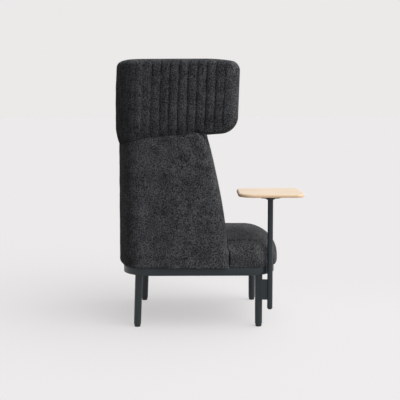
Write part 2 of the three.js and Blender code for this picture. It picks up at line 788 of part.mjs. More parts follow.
// A band along the lap, from below the seam by the lap and a growth to above it by a rise
function hoodTab(face, back, front, growth, rise) {
  const outline = { outer: chain(SHELL_PLAN, front, face), inner: chain(SHELL_PLAN, front, back) };
  return wallLoft([
    { ...outline, level: (station) => seamLine(station) - HOOD_LAP - growth },
    { ...outline, level: (station) => shellTop(station) + rise },
  ]);
}

// Screws through the shell board into the deck's edge: heads outward
function boardScrews() {
  return [BOARD_SCREW_FRONT_Y, BOARD_SCREW_Y].flatMap((y) => [-1, 1].map((side) => ({
    spec: BOARD_SCREW,
    x: side * (SHELL_HALF_WIDTH - SHELL_BOARD_FACE),
    y,
    z: RING_TOP + DECK_THICKNESS / 2,
    turn: side * (Math.PI / 2),
  })));
}

// Screws through the hood's tab into the shell board: heads inward
function lapScrews() {
  return [LAP_SCREW_FRONT_Y, LAP_SCREW_Y].flatMap((y) => [-1, 1].map((side) => ({
    spec: LAP_SCREW,
    x: side * (SHELL_HALF_WIDTH - HOOD_BOARD_BACK),
    y,
    z: seamLine(y) - LAP_SCREW_DROP,
    turn: -side * (Math.PI / 2),
  })));
}

function roomOf(place) {
  return screwRoom(place.spec).rotateY(place.turn).translate(place.x, place.y, place.z);
}

// ---- Padding of the shell ----

// One row of the shell's outer padding: outside, round nose, and the pocket for the board
function coverRow(height, level, inset) {
  const front = wingFront(height) + inset;
  const length = WING_NOSE - inset;
  const outer = SHELL_HALF_WIDTH - inset;
  const inner = INNER_HALF_WIDTH + inset;
  const start = front + length;
  const lip = [wallPoint({ x: inner, y: start })];
  const outerFace = chain(SHELL_PLAN, start, inset);
  const pocket = [...lip, ...chain(SHELL_PLAN, start, SHELL_PAD), ...mirrored(lip)];
  return { ...nosed(front, length, outer, inner, outerFace, pocket), level };
}

function shellCover() {
  const body = wallLoft([
    ...FOOT_SHARES.map((share) => {
      const z = SHELL_FOOT + FOOT_ROUND * share;
      return coverRow(z, () => z, roundInset(FOOT_ROUND * share, FOOT_ROUND));
    }),
    ...wingHeights().map((z) => coverRow(z, () => z, 0)),
    ...SHOULDER_SHARES.map((share, row) => coverRow(
      shoulderHeight(share), shoulderLevel(share), EDGE_ROUND * SHOULDER_EDGE_SHARES[row],
    )),
  ]);
  return cut(body, deckRoom());
}

// One row of the padding on the sitter's side of the wings and back
function backRow(height, level, inset) {
  const front = wingFront(height) + WING_NOSE + SOFT_GAP;
  return {
    outer: chain(SHELL_PLAN, front, HOOD_BOARD_FACE),
    inner: chain(innerPlan(height), front, -inset),
    level,
  };
}

function backPad() {
  const body = wallLoft([
    backRow(SHELL_FOOT, () => DECK_TOP + SEAT_GAP, 0),
    ...wingHeights().map((z) => backRow(z, () => z, 0)),
    ...SHOULDER_SHARES.map((share) => backRow(shoulderHeight(share), shoulderLevel(share), 0)),
    backRow(SEAM_HEIGHT + INNER_ROUND_HEIGHT,
      (station) => hoodFoot(station) + HOOD_LIP - SOFT_GAP, INNER_ROUND),
  ]);
  const lap = hoodTab(
    HOOD_BOARD_FACE - CUT_OVERRUN / 2, HOOD_BOARD_BACK + SOFT_GAP * 2, WING_TOP_FRONT,
    SOFT_GAP * 2, HOOD_LIP * 2,
  );
  return cut(body, lap, ...lapScrews().map(roomOf));
}

// The room that the shell and its padding take, grown by the gap to the seat's pads
function shellRoom() {
  const outer = SHELL_HALF_WIDTH + SOFT_GAP;
  const inner = INNER_HALF_WIDTH - SOFT_GAP;
  const row = (height, z) => {
    const front = wingFront(height) - SOFT_GAP;
    const start = front + WING_NOSE;
    const edge = [wallPoint({ x: outer, y: start })];
    const outerFace = [...edge, ...chain(SHELL_PLAN, start, -CUT_OVERRUN), ...mirrored(edge)];
    const innerFace = chain(innerPlan(height), start, SOFT_GAP);
    return { ...nosed(front, WING_NOSE, outer, inner, outerFace, innerFace), level: () => z };
  };
  return wallLoft([
    row(SHELL_FOOT, SHELL_FOOT - CUT_OVERRUN),
    ...wingHeights().slice(0, 3).map((height) => row(height, height)),
  ]);
}

// ---- Padding of the hood ----

// Grooves and crowns of the channels from the foremost groove round to the middle of the back
function channelStops(share) {
  const end = distanceTo(HOOD_PLAN, CHANNEL_FRONT);
  const count = Math.round(end / CHANNEL_PITCH);
  const lean = CHANNEL_LEAN * (2 * share - 1);
  const stops = [{ distance: end + lean, sunk: 1 }];
  for (let channel = count - 1; channel >= 0; channel -= 1) {
    [...CHANNEL_SHARES.keys()].reverse().forEach((step) => {
      const place = (channel + CHANNEL_SHARES[step]) / count;
      stops.push({ distance: (end + lean) * place, sunk: CHANNEL_DEPTH_SHARES[step] });
    });
  }
  return stops;
}

// The station of a place on the hood: the shell's y where the outline turns alike
function hoodStation(distance) {
  const marks = planMarks(HOOD_PLAN);
  const shell = planMarks(SHELL_PLAN);
  if (distance >= marks.cornerEnd) {
    return placeOn(HOOD_PLAN, distance, 0).y;
  }
  const onBow = distance <= marks.bowEnd;
  const share = onBow
    ? distance / marks.bowEnd
    : (distance - marks.bowEnd) / (marks.cornerEnd - marks.bowEnd);
  const along = onBow ? share * shell.bowEnd : lerp(shell.bowEnd, shell.cornerEnd, share);
  return placeOn(SHELL_PLAN, along, 0).y;
}

// The channelled outside of the hood in one row, from the +X front end to the -X one
function channelChain(share, start, inset, depth) {
  const first = distanceTo(HOOD_PLAN, start);
  const crowding = CHANNEL_PITCH * CROWDING_SHARE;
  const half = [{ distance: first, sunk: 0 }];
  channelStops(share).forEach(({ distance, sunk }, place) => {
    half.push({ distance: Math.min(distance, first - crowding * (place + 1)), sunk });
  });
  const points = half.map(({ distance, sunk }) => {
    const place = placeOn(HOOD_PLAN, distance, inset + depth * sunk);
    const draw = HOOD_BACK_DRAW * share ** HOOD_DRAW_SHARE * clamp(place.y / SHELL_BACK, 0, 1);
    return wallPoint({ x: place.x, y: place.y - draw }, hoodStation(distance));
  });
  return [...points, ...mirrored(points.slice(0, -1))];
}

// One row of the whole hood: channelled outside, round nose and plain inside
function hoodRow(row) {
  const front = hoodFront(row.share) + row.retreat;
  const length = HOOD_NOSE * row.nose;
  const start = front + length;
  const outer = HOOD_PLAN.halfWidth - row.inset;
  const inner = INNER_HALF_WIDTH + row.innerInset;
  const height = lerp(SEAM_HEIGHT, HOOD_TOP, row.share);
  const outerFace = channelChain(row.share, start, row.inset, CHANNEL_DEPTH * row.depth);
  const innerFace = chain(innerPlan(height), start, -row.innerInset, OVERHANG_SHARES);
  return { ...nosed(front, length, outer, inner, outerFace, innerFace), level: row.level };
}

// The hood before it is hollowed for its board and lining
function hoodBody() {
  const height = HOOD_TOP - SEAM_HEIGHT;
  const swell = SWELL_SHARES.map((share, row) => {
    const rise = HOOD_FOOT_SWELL * share;
    return hoodRow({
      share: rise / height,
      level: (y) => hoodFoot(y) + rise,
      retreat: roundInset(rise, HOOD_FOOT_CORNER),
      nose: SWELL_NOSE_SHARES[row],
      inset: HOOD_FOOT_INSET * (1 - share) ** 2,
      innerInset: roundInset(rise, HOOD_FOOT_ROUND),
      depth: SWELL_DEPTH_SHARES[row],
    });
  });
  const roll = ROLL_SHARES.map((share, row) => {
    const drop = HOOD_TOP_CORNER * share;
    return hoodRow({
      share: 1 - drop / height,
      level: (y) => hoodTop(y) - drop,
      retreat: roundInset(drop, HOOD_TOP_CORNER),
      nose: ROLL_NOSE_SHARES[row],
      inset: roundInset(drop, HOOD_TOP_ROUND),
      innerInset: roundInset(drop, HOOD_TOP_ROUND),
      depth: ROLL_DEPTH_SHARES[row],
    });
  });
  return wallLoft([...swell, ...roll]);
}

// The hollow for the hood's board and lining: closed round its front, top and free foot
function hoodPocket() {
  const share = HOOD_LIP / (HOOD_TOP - SEAM_HEIGHT);
  const row = (front, height, leadShares, level, depth = SHELL_BOARD_BACK) => ({
    outer: chain(SHELL_PLAN, front, depth, leadShares),
    inner: chain(innerPlan(height), front, CUT_OVERRUN, leadShares),
    level,
  });
  const foot = lerp(SEAM_HEIGHT, HOOD_TOP, share);
  const top = lerp(SEAM_HEIGHT, HOOD_TOP, 1 - share);
  const main = wallLoft([
    row(hoodFront(share) + HOOD_NOSE, foot, OVERHANG_SHARES,
      (station) => hoodFoot(station) + HOOD_LIP),
    row(hoodFront(1 - share) + HOOD_NOSE, top, OVERHANG_SHARES,
      (station) => hoodTop(station) - HOOD_LIP),
  ]);
  const mouth = wallLoft([
    row(WING_TOP_FRONT, foot, [], (station) => hoodFoot(station) - CUT_OVERRUN),
    row(WING_TOP_FRONT, foot, [], (station) => hoodFoot(station) + HOOD_LIP * 1.5),
  ]);
  const relief = wallLoft([
    row(WING_TOP_FRONT, foot, [], (station) => hoodFoot(station) - CUT_OVERRUN, SEAM_LIP),
    row(WING_TOP_FRONT, foot, [], (station) => hoodFoot(station) + SEAM_RELIEF, SEAM_LIP),
  ]);
  return join(join(main, mouth), relief);
}

function hoodCover() {
  return cut(hoodBody(), hoodPocket());
}

// The padding on the sitter's side of the hood
function hoodLining() {
  const share = HOOD_LIP / (HOOD_TOP - SEAM_HEIGHT);
  const round = INNER_ROUND_HEIGHT / (HOOD_TOP - SEAM_HEIGHT);
  const row = (place, level, inset) => {
    const front = hoodFront(place) + HOOD_NOSE + SOFT_GAP;
    const height = lerp(SEAM_HEIGHT, HOOD_TOP, place);
    return {
      outer: chain(SHELL_PLAN, front, HOOD_BOARD_BACK + SEAT_GAP, OVERHANG_SHARES),
      inner: chain(innerPlan(height), front, -inset, OVERHANG_SHARES),
      level,
    };
  };
  const foot = (station) => hoodFoot(station) + HOOD_LIP + SEAM_GAP;
  const top = (station) => hoodTop(station) - HOOD_LIP - SOFT_GAP;
  return wallLoft([
    row(share, foot, INNER_ROUND),
    row(share + round, (station) => foot(station) + INNER_ROUND_HEIGHT, 0),
    row(1 - share - round, (station) => top(station) - INNER_ROUND_HEIGHT, 0),
    row(1 - share, top, INNER_ROUND),
  ]);
}

// ---- Seat pads ----

// Plan of the base pad, moved in by an inset
function basePadLoop(inset, back) {
  const halfWidth = BASE_PAD_HALF_WIDTH - inset;
  const radius = BASE_PAD_CORNER - inset;
  const cornerX = BASE_PAD_HALF_WIDTH - BASE_PAD_CORNER;
  const cornerY = BASE_PAD_FRONT + BASE_PAD_CORNER;
  const corner = [...evenShares(ARC_STEPS), 1].map((share) => new THREE.Vector2(
    cornerX + radius * Math.cos(share * (Math.PI / 2)),
    cornerY - radius * Math.sin(share * (Math.PI / 2)),
  ));
  return [
    new THREE.Vector2(halfWidth, back),
    new THREE.Vector2(-halfWidth, back),
    ...corner.map(({ x, y }) => new THREE.Vector2(-x, y)),
    ...corner.reverse(),
  ];
}

// The base pad's block with its soft shoulders, before its neighbours are cut from it
function basePadBody(growth) {
  const back = WAIST_BACK + INNER_CORNER / 2;
  const foot = FOOT_SHARES.map((share) => ({
    inset: roundInset(FOOT_ROUND * share, FOOT_ROUND),
    z: SHELL_FOOT + FOOT_ROUND * share - (growth > 0 ? CUT_OVERRUN : 0),
  }));
  const shoulder = [...evenShares(ARC_STEPS), 1].map((share) => ({
    inset: BASE_PAD_SHOULDER * (1 - Math.cos(share * (Math.PI / 2))),
    z: BASE_PAD_TOP - BASE_PAD_SHOULDER * (1 - Math.sin(share * (Math.PI / 2))) + growth,
  }));
  return loft([...foot, ...shoulder].map(({ inset, z }) => basePadLoop(inset - growth, back)
    .map((point) => new THREE.Vector3(point.x, point.y, z))));
}

function seatBasePad() {
  return cut(basePadBody(0), shellRoom(), deckRoom());
}

// One rib of the top pad at a place across it: foot, back, crowned top and rolled front
function topPadRib(x, retreat) {
  const across = Math.abs(x);
  const crown = lerp(TOP_PAD_CROWN, TOP_PAD_EDGE, (across / INNER_HALF_WIDTH) ** 2);
  const drop = roundInset(TOP_PAD_HALF_WIDTH - across, TOP_PAD_ROLL);
  const bow = TOP_PAD_BOW - Math.sqrt(TOP_PAD_BOW ** 2 - across ** 2);
  const front = TOP_PAD_FRONT + bow + retreat;
  const start = TOP_PAD_FRONT + TOP_PAD_NOSE;
  const back = WAIST_BACK + INNER_CORNER / 2;
  const power = 2 / TOP_PAD_NOSE_SHARE;
  const rolled = [...evenShares(ARC_STEPS + 2), 1].map((share) => {
    const angle = share * (Math.PI / 2);
    return new THREE.Vector3(
      x,
      start - (start - front) * Math.sin(angle) ** power,
      lerp(TOP_PAD_NOSE_FOOT, crown - drop, Math.max(Math.cos(angle), 0) ** power),
    );
  });
  return [
    new THREE.Vector3(x, front, SHELL_FOOT),
    new THREE.Vector3(x, back, SHELL_FOOT),
    new THREE.Vector3(x, back, crown - drop),
    ...rolled,
  ];
}

function topPadBody() {
  const inner = TOP_PAD_HALF_WIDTH - TOP_PAD_CORNER;
  const flat = evenShares(CROWN_STEPS).map((share) => ({ x: inner * share, retreat: 0 }));
  const corner = PAD_CORNER_SHARES.map((share) => {
    const angle = share * (Math.PI / 2);
    return {
      x: inner + TOP_PAD_CORNER * Math.sin(angle),
      retreat: TOP_PAD_CORNER * (1 - Math.cos(angle)),
    };
  });
  const half = [...flat.slice(1), ...corner];
  const ribs = [
    ...half.map(({ x, retreat }) => topPadRib(-x, retreat)).reverse(),
    topPadRib(0, 0),
    ...half.map(({ x, retreat }) => topPadRib(x, retreat)),
  ];
  return loft(ribs, (point) => new THREE.Vector2(point.y, point.z));
}

function seatTopPad() {
  return cut(topPadBody(), basePadBody(SOFT_GAP), shellRoom(), deckRoom());
}

// ---- Side table ----

function tablePole() {
  const inside = POLE_RADIUS - POLE_WALL;
  return turned([
    [inside, POLE_FOOT],
    [POLE_RADIUS, POLE_FOOT],
    [POLE_RADIUS, POLE_TOP],
    [inside, POLE_TOP],
    [inside, POLE_FOOT],
  ], ROUND_SIDES, POLE_X, POLE_Y);
}

// The domed cap pushed into the pole's lower end
function poleEndCap() {
  const plug = POLE_RADIUS - POLE_WALL - SEAT_GAP;
  const dome = evenShares(CORNER_STEPS).slice(1).map((share) => {
    const angle = share * (Math.PI / 2);
    return [POLE_RADIUS * Math.sin(angle), -CAP_DOME * Math.cos(angle)];
  });
  return turned([
    [0, -CAP_DOME],
    ...dome,
    [POLE_RADIUS, 0],
    [plug, 0],
    [plug, CAP_PLUG],
    [0, CAP_PLUG],
  ], ROUND_SIDES, POLE_X, POLE_Y, POLE_FOOT);
}

// The flanged bush in the pole's upper end, which the table's spindle turns in
function poleBush() {
  const bore = SPINDLE_RADIUS + SPINDLE_PLAY;
  const sleeve = POLE_RADIUS - POLE_WALL - SEAT_GAP;
  return turned([
    [bore, BUSH_FLANGE - BUSH_LENGTH],
    [sleeve, BUSH_FLANGE - BUSH_LENGTH],
    [sleeve, 0],
    [POLE_RADIUS, 0],
    [POLE_RADIUS, BUSH_FLANGE],
    [bore, BUSH_FLANGE],
    [bore, BUSH_FLANGE - BUSH_LENGTH],
  ], ROUND_SIDES, POLE_X, POLE_Y, POLE_TOP);
}

// The plate welded between the near front leg and the pole
function bracketPlate() {
  const from = new THREE.Vector2(-LEG_X - PLATE_SET, LEG_FRONT_Y - PLATE_BACK);
  const to = new THREE.Vector2(POLE_X, POLE_Y);
  const along = to.clone().sub(from);
  const plate = new THREE.BoxGeometry(along.length(), PLATE_THICKNESS, PLATE_HEIGHT);
  plate.rotateZ(along.angle());
  plate.translate((from.x + to.x) / 2, (from.y + to.y) / 2, PLATE_FOOT + PLATE_HEIGHT / 2);
  return cut(
    plate,
    rod(LEG_TOP_RADIUS + SEAT_GAP, 0, RAIL_FOOT, -LEG_X, LEG_FRONT_Y),
    rod(POLE_RADIUS + SEAT_GAP, POLE_FOOT, POLE_TOP, POLE_X, POLE_Y),
  );
}

// The disc, hub and spindle under the tabletop
function swivelPlate() {
  const disc = turned([
    [0, HUB_FOOT - SPINDLE_LENGTH],
    [SPINDLE_RADIUS, HUB_FOOT - SPINDLE_LENGTH],
    [SPINDLE_RADIUS, HUB_FOOT],
    [HUB_RADIUS - HUB_HEIGHT / 2, HUB_FOOT],
    [HUB_RADIUS, SWIVEL_FOOT],
    [SWIVEL_RADIUS, TABLE_FOOT - SWIVEL_RIM],
    [SWIVEL_RADIUS, TABLE_FOOT],
    [0, TABLE_FOOT],
  ], ROUND_SIDES + SCREW_SIDES, POLE_X, POLE_Y);
  return cut(disc, ...tableScrews().map(tableScrewRoom));
}

function tabletop() {
  const halfWidth = TABLE_WIDTH / 2 - TABLE_EDGE;
  const halfLength = TABLE_LENGTH / 2 - TABLE_EDGE;
  const radius = TABLE_CORNER - TABLE_EDGE;
  const outline = new THREE.Shape();
  outline.absarc(halfWidth - radius, halfLength - radius, radius, 0, Math.PI / 2);
  outline.absarc(radius - halfWidth, halfLength - radius, radius, Math.PI / 2, Math.PI);
  outline.absarc(radius - halfWidth, radius - halfLength, radius, Math.PI, Math.PI * 1.5);
  outline.absarc(halfWidth - radius, radius - halfLength, radius, Math.PI * 1.5, Math.PI * 2);
  const top = new THREE.ExtrudeGeometry(outline, {
    depth: TABLE_THICKNESS - 2 * TABLE_EDGE,
    curveSegments: ARC_STEPS,
    bevelThickness: TABLE_EDGE,
    bevelSize: TABLE_EDGE,
    bevelSegments: 2,
  });
  top.translate(POLE_X + TABLE_OFFSET, POLE_Y, TABLE_FOOT + TABLE_EDGE);
  return cut(top, ...tableScrews().map(tableScrewRoom));
}

// Places of the screws that hold the disc to the tabletop
function tableScrews() {
  const turns = evenShares(TABLE_SCREW_COUNT).map((share) => 2 * Math.PI * share + Math.PI / 4);
  return turns.map((angle) => new THREE.Vector3(
    POLE_X + TABLE_SCREW_CIRCLE * Math.cos(angle),
    POLE_Y + TABLE_SCREW_CIRCLE * Math.sin(angle),
    TABLE_FOOT - SWIVEL_RIM,
  ));
}

function tableScrewRoom(place) {
  return screwRoom(TABLE_SCREW).rotateX(Math.PI).translate(place.x, place.y, place.z);
}

// ---- Assembly ----

const chair = new THREE.Group();

function add(name, geometry, look) {
  const mesh = new THREE.Mesh(geometry, new THREE.MeshStandardMaterial(look));
  mesh.name = name;
  chair.add(mesh);
  return mesh;
}

add('base_ring', baseRing(), STEEL);
add('cross_rail_front', crossRail(LEG_FRONT_Y), STEEL);
add('cross_rail_rear', crossRail(LEG_REAR_Y), STEEL);

const CORNERS = [
  { name: 'front_right', x: -LEG_X, y: LEG_FRONT_Y, rear: false },
  { name: 'front_left', x: LEG_X, y: LEG_FRONT_Y, rear: false },
  { name: 'rear_right', x: -LEG_X, y: LEG_REAR_Y, rear: true },
  { name: 'rear_left', x: LEG_X, y: LEG_REAR_Y, rear: true },
];
for (const { name, x, y, rear } of CORNERS) {
  add(`leg_${name}`, leg(x, y, rear), STEEL);
  add(`glide_${name}`, glide(x, y + footShift(rear)), PLASTIC);
  add(`leg_bolt_${name}`, bolt(LEG_BOLT), ZINC).position.set(x, y, RING_TOP - SEAT_GAP);
  const deckBolt = add(`deck_bolt_${name}`, bolt(DECK_BOLT), ZINC);
  deckBolt.rotation.x = Math.PI;
  deckBolt.position.set(Math.sign(x) * DECK_BOLT_X, y, RAIL_FOOT - DECK_BOLT.headHeight);
}

add('seat_deck', seatDeck(), PLYWOOD);
add('shell_board', shellBoard(), PLYWOOD);
add('hood_board', hoodBoard(), PLYWOOD);
add('shell_cover', shellCover(), FABRIC);
add('back_pad', backPad(), FABRIC);
add('hood_cover', hoodCover(), FABRIC);
add('hood_lining', hoodLining(), FABRIC);
add('seat_base_pad', seatBasePad(), FABRIC);
add('seat_top_pad', seatTopPad(), FABRIC);

const SIDES = ['front_right', 'front_left', 'rear_right', 'rear_left'];
for (const [kind, places] of [['board_screw', boardScrews()], ['lap_screw', lapScrews()]]) {
  places.forEach((place, number) => {
    const mesh = add(`${kind}_${SIDES[number]}`, screw(place.spec), ZINC);
    mesh.rotation.y = place.turn;
    mesh.position.set(place.x, place.y, place.z);
  });
}

add('bracket_plate', bracketPlate(), STEEL);
add('table_pole', tablePole(), STEEL);
add('pole_end_cap', poleEndCap(), PLASTIC);
add('pole_bush', poleBush(), PLASTIC);
add('swivel_plate', swivelPlate(), STEEL);
add('tabletop', tabletop(), VENEER);
tableScrews().forEach((place, number) => {
  const mesh = add(`table_screw_${number + 1}`, screw(TABLE_SCREW), ZINC);
  mesh.rotation.x = Math.PI;
  mesh.position.copy(place);
});

// The frame's origin lies on the floor under the middle of the whole part
const bounds = new THREE.Box3().setFromObject(chair, true);
const middle = bounds.getCenter(new THREE.Vector3());
chair.position.set(-middle.x, -middle.y, -bounds.min.z);

export default chair;
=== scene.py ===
"""Acoustic high-back lounge chair with a swivelling side table, dressed for a studio picture."""

import math

import bpy
import numpy as np
from mathutils import Matrix, Vector


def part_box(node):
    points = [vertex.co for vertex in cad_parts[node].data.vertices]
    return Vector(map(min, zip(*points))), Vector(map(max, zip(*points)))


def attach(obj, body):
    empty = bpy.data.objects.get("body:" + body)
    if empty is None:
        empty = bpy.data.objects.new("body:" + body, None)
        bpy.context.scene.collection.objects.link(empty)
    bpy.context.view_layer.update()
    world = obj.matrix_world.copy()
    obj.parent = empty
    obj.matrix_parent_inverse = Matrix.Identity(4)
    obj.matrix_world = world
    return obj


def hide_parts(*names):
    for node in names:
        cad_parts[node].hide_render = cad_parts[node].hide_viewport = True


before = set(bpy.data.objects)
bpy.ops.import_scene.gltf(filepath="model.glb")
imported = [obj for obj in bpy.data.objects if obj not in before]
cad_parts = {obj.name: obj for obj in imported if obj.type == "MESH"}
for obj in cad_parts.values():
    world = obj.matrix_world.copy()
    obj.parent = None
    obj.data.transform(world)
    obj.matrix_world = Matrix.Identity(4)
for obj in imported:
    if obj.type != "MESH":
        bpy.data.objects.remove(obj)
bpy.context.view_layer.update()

# ---- Sizes in millimetres, from the middle of the base ring at the floor ----

MILLIMETRE = 0.001
RING_LOW, RING_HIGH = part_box("base_ring")
MIDDLE = np.array([(RING_LOW.x + RING_HIGH.x) / 2, (RING_LOW.y + RING_HIGH.y) / 2, 0.0])

# the steel ring and the plywood deck on its rails
RING_TOP, RING_DEEP, RING_THICK = 286.5, 36.5, 6.0
RING_HALF_X, RING_HALF_Y, RING_CORNER = 315.0, 356.0, 140.0
DECK_TOP = 301.5

# the shell's and the hood's plans: half width, back, and radius of the bow and the corners
SHELL = {"half": 335.0, "back": 384.0, "bow": 780.0, "corner": 75.0}
HOOD = {"half": 350.0, "back": 399.5, "bow": 795.0, "corner": 90.0}

# the sitter's side, and where the back's face lies at the waist, the neck and the top
INNER_HALF, INNER_BOW, INNER_CORNER = 250.0, 600.0, 60.0
WAIST_HEIGHT, NECK_HEIGHT = 400.0, 860.0
WAIST_BACK, NECK_BACK, TOP_BACK = 205.0, 288.0, 300.0

# the shell: its foot, its outer padding, how deep the inner faces of its board and of the
# hood's board lie, and its lean
SHELL_FOOT = 286.8
SHELL_PAD = 24.0
SHELL_BOARD, HOOD_BOARD = 36.6, 45.6
LEAN, LEAN_TOP = 4.0, 795.0

# the wings' front edge, with its round nose, its step over the seat and its shoulder
WING_FRONT, WING_NOSE = -142.0, 40.0
WING_STEP, STEP_LOW, STEP_HIGH = 10.5, 357.0, 380.0
WING_SWEEP = 84.5
WING_TOP, SHOULDER_ROUND = 905.0, 42.0

# the seam between shell and hood, which falls from SEAM_BEND to the back
SEAM_HEIGHT, SEAM_GAP = 897.0, 0.7
SEAM_FALL, SEAM_BEND = 52.0, 55.0

# the hood: its roll over the top, its swell over the seam, the pocket for its board, where
# it starts to hang free of the shell, its channels, and the plain edge before them
HOOD_TOP, HOOD_ROLL = 1239.0, 38.0
HOOD_NOSE, HOOD_CORNER = 45.0, 70.0
HOOD_SWELL, SWELL_HIGH = 16.0, 80.0
HOOD_LIP = 20.0
POCKET = 36.3
LAP_FRONT = 35.0
CHANNEL_PITCH, CHANNEL_DEPTH = 41.0, 7.0
CHANNEL_FRONT, CHANNEL_LEAN = -116.0, 9.0
PLAIN_EDGE = 8.0

# the seat's lower pad, with the centre of its front corner, and its upper pad
PAD_HALF, PAD_FRONT, PAD_TOP = 312.0, -321.0, 405.0
PAD_SHOULDER, PAD_CORNER = 72.0, 80.0
PAD_ARC_X, PAD_ARC_Y = PAD_HALF - PAD_CORNER, PAD_FRONT + PAD_CORNER
PAD_SIDE_END, PAD_NARROW, PAD_TUCK = -149.0, 248.0, 6.0
DECK_ROOM = 13.3
TOP_PAD_HALF, TOP_PAD_CORNER, TOP_PAD_CROWN = 255.0, 40.0, 437.0
TOP_PAD_BACK, TOP_PAD_FRONT, TOP_PAD_BOW = 235.0, -383.0, 1000.0
ROLL_START, ROLL_FOOT = -218.0, 305.0

# the legs, the table's pole and its top, whose middle lies TABLE_SHIFT in from the pole
LEG_TOP, LEG_FOOT = 266.5, 13.0
POLE_AXIS = (-286.0, -330.0)
POLE_RADIUS, POLE_BORE, POLE_FOOT = 12.5, 10.0, 94.0
TABLE_HALF_X, TABLE_HALF_Y, TABLE_SHIFT = 141.5, 148.5, 50.5
TABLE_LOW, TABLE_TOP = 618.0, 633.0

QUARTER = np.pi / 2  # of a turn


# ---- Shapes shared by the padded pieces ----


def round_inset(distance, radius):
    """r - sqrt(r^2 - (r - d)^2): how far a quarter round draws in at a distance from its end."""
    left = np.clip(radius - distance, 0.0, radius)
    return radius - np.sqrt(radius**2 - left**2)


def ripple(a, b, length, seed):
    """Smooth unevenness from -1 to 1: the mean of six sine waves over two lengths, each turned
    to its own direction and a little longer or shorter than the given length."""
    wave, circle = np.random.default_rng(seed), 6.28
    spans = (0, circle), (0.7, 1.6), (0, circle)
    turn, stretch, phase = (wave.uniform(*span, 6) for span in spans)
    a, b = np.asarray(a)[..., None], np.asarray(b)[..., None]
    along = (a * np.cos(turn) + b * np.sin(turn)) * circle / (length * stretch)
    return np.sin(along + phase).mean(axis=-1) * 1.6


def hump(distance, width):
    """exp(-(d / w)^2): 1 in the middle of a seam or a soft place, and near 0 past two widths."""
    return np.exp(-((distance / width) ** 2))


def plan_marks(plan):
    """Where the bowed back ends, where the corner ends, and the corner's centre. The bow and
    the corner touch where the lines from their centres are one, at the angle 'turn'."""
    across = plan["half"] - plan["corner"]
    reach = math.sqrt((plan["bow"] - plan["corner"]) ** 2 - across**2)
    turn = math.atan2(across, reach)
    bow_end = plan["bow"] * turn
    corner_end = bow_end + plan["corner"] * (QUARTER - turn)
    return turn, bow_end, corner_end, across, plan["back"] - plan["bow"] + reach


def along_plan(plan, distance, depth):
    """x and y at a distance from the middle of the back, moved in by a depth: on the bow
    (R sin a, back - bow + R cos a) with a = distance / bow and R = bow - depth, on the corner
    the same about the corner's centre, and on the side a straight line toward -Y."""
    turn, bow_end, corner_end, across, centre = plan_marks(plan)
    bow_angle = distance / plan["bow"]
    angle = turn + np.clip(distance - bow_end, 0, None) / plan["corner"]
    bow, corner = plan["bow"] - depth, plan["corner"] - depth
    on_bow, on_side = distance <= bow_end, distance >= corner_end
    bow_y = plan["back"] - plan["bow"] + bow * np.cos(bow_angle)
    x = np.where(on_bow, bow * np.sin(bow_angle), across + corner * np.sin(angle))
    y = np.where(on_bow, bow_y, centre + corner * np.cos(angle))
    x = np.where(on_side, plan["half"] - depth, x)
    return x, np.where(on_side, centre + corner_end - distance, y)


def distance_to(plan, y):
    """Distance along a plan from the middle of its back to a height y on its straight side."""
    _, _, corner_end, _, centre = plan_marks(plan)
    return corner_end + centre - y


def matched(plan, distance, other):
    """The distance on another plan that lies opposite: the same share of the bow or the
    corner, and the same y on the straight side."""
    _, bow_end, corner_end, _, centre = plan_marks(plan)
    _, other_bow, other_corner, _, other_centre = plan_marks(other)
    on_bow = distance / bow_end * other_bow
    share = np.clip((distance - bow_end) / (corner_end - bow_end), 0, 1)
    on_corner = other_bow + (other_corner - other_bow) * share
    on_side = other_corner + other_centre - (centre + corner_end - distance)
    past_bow = np.where(distance >= corner_end, on_side, on_corner)
    return np.where(distance <= bow_end, on_bow, past_bow)


def corner_ease(plan, distance):
    """How far the padding draws in where the flank turns into the back, 15 sin^2 of the way
    from 170 mm before the corner to 60 mm past it, so that the corner looks softer."""
    _, bow_end, corner_end, _, _ = plan_marks(plan)
    before, past = 170.0, 60.0
    run = corner_end - bow_end + before + past
    way = np.clip((corner_end + before - distance) / run, 0, 1)
    return 15.0 * np.sin(np.pi * way) ** 2


def station_of(plan, distance):
    """The shell's own y opposite a distance on a plan; it sets every height on that line."""
    return along_plan(SHELL, matched(plan, distance, SHELL), 0.0)[1]


def inner_plan(height):
    """The sitter's side at a height: the back's face swings from 205 mm at the waist to
    288 mm at the neck, half in a straight line and half in a cosine wave, and on to 300 mm."""
    share = np.clip((height - WAIST_HEIGHT) / (NECK_HEIGHT - WAIST_HEIGHT), 0, 1)
    above = np.clip((height - NECK_HEIGHT) / (HOOD_TOP - NECK_HEIGHT), 0, 1)
    bend = (1 - np.cos(np.pi * share)) / 2
    back = WAIST_BACK + (NECK_BACK - WAIST_BACK) * (share + bend) / 2
    back = back + (TOP_BACK - NECK_BACK) * above
    return {"half": INNER_HALF, "back": back, "bow": INNER_BOW, "corner": INNER_CORNER}


def wing_step(height):
    """How far the wing's front edge steps back over the seat: 10.5 mm from 357 to 380 high."""
    return WING_STEP * np.clip((height - STEP_LOW) / (STEP_HIGH - STEP_LOW), 0, 1)


def wing_front(height):
    """The wing's front edge: upright up to its step, then a power curve, sweep = run s^1.5,
    back to the shoulder, which ends in a quarter round of 42 mm."""
    share = (height - STEP_HIGH) / (WING_TOP - SHOULDER_ROUND - STEP_HIGH)
    sweep = WING_FRONT + WING_STEP + WING_SWEEP * np.clip(share, 0, 1) ** 1.5
    swept = sweep + round_inset(WING_TOP - height, SHOULDER_ROUND)
    return np.where(height < STEP_HIGH, WING_FRONT + wing_step(height), swept)


def seam_line(y):
    """The seam falls by 52 mm toward the middle of the back, as the 2.3rd power of the way."""
    way = np.clip((y - SEAM_BEND) / (SHELL["back"] - SEAM_BEND), 0, 1)
    return SEAM_HEIGHT - SEAM_FALL * way**2.3


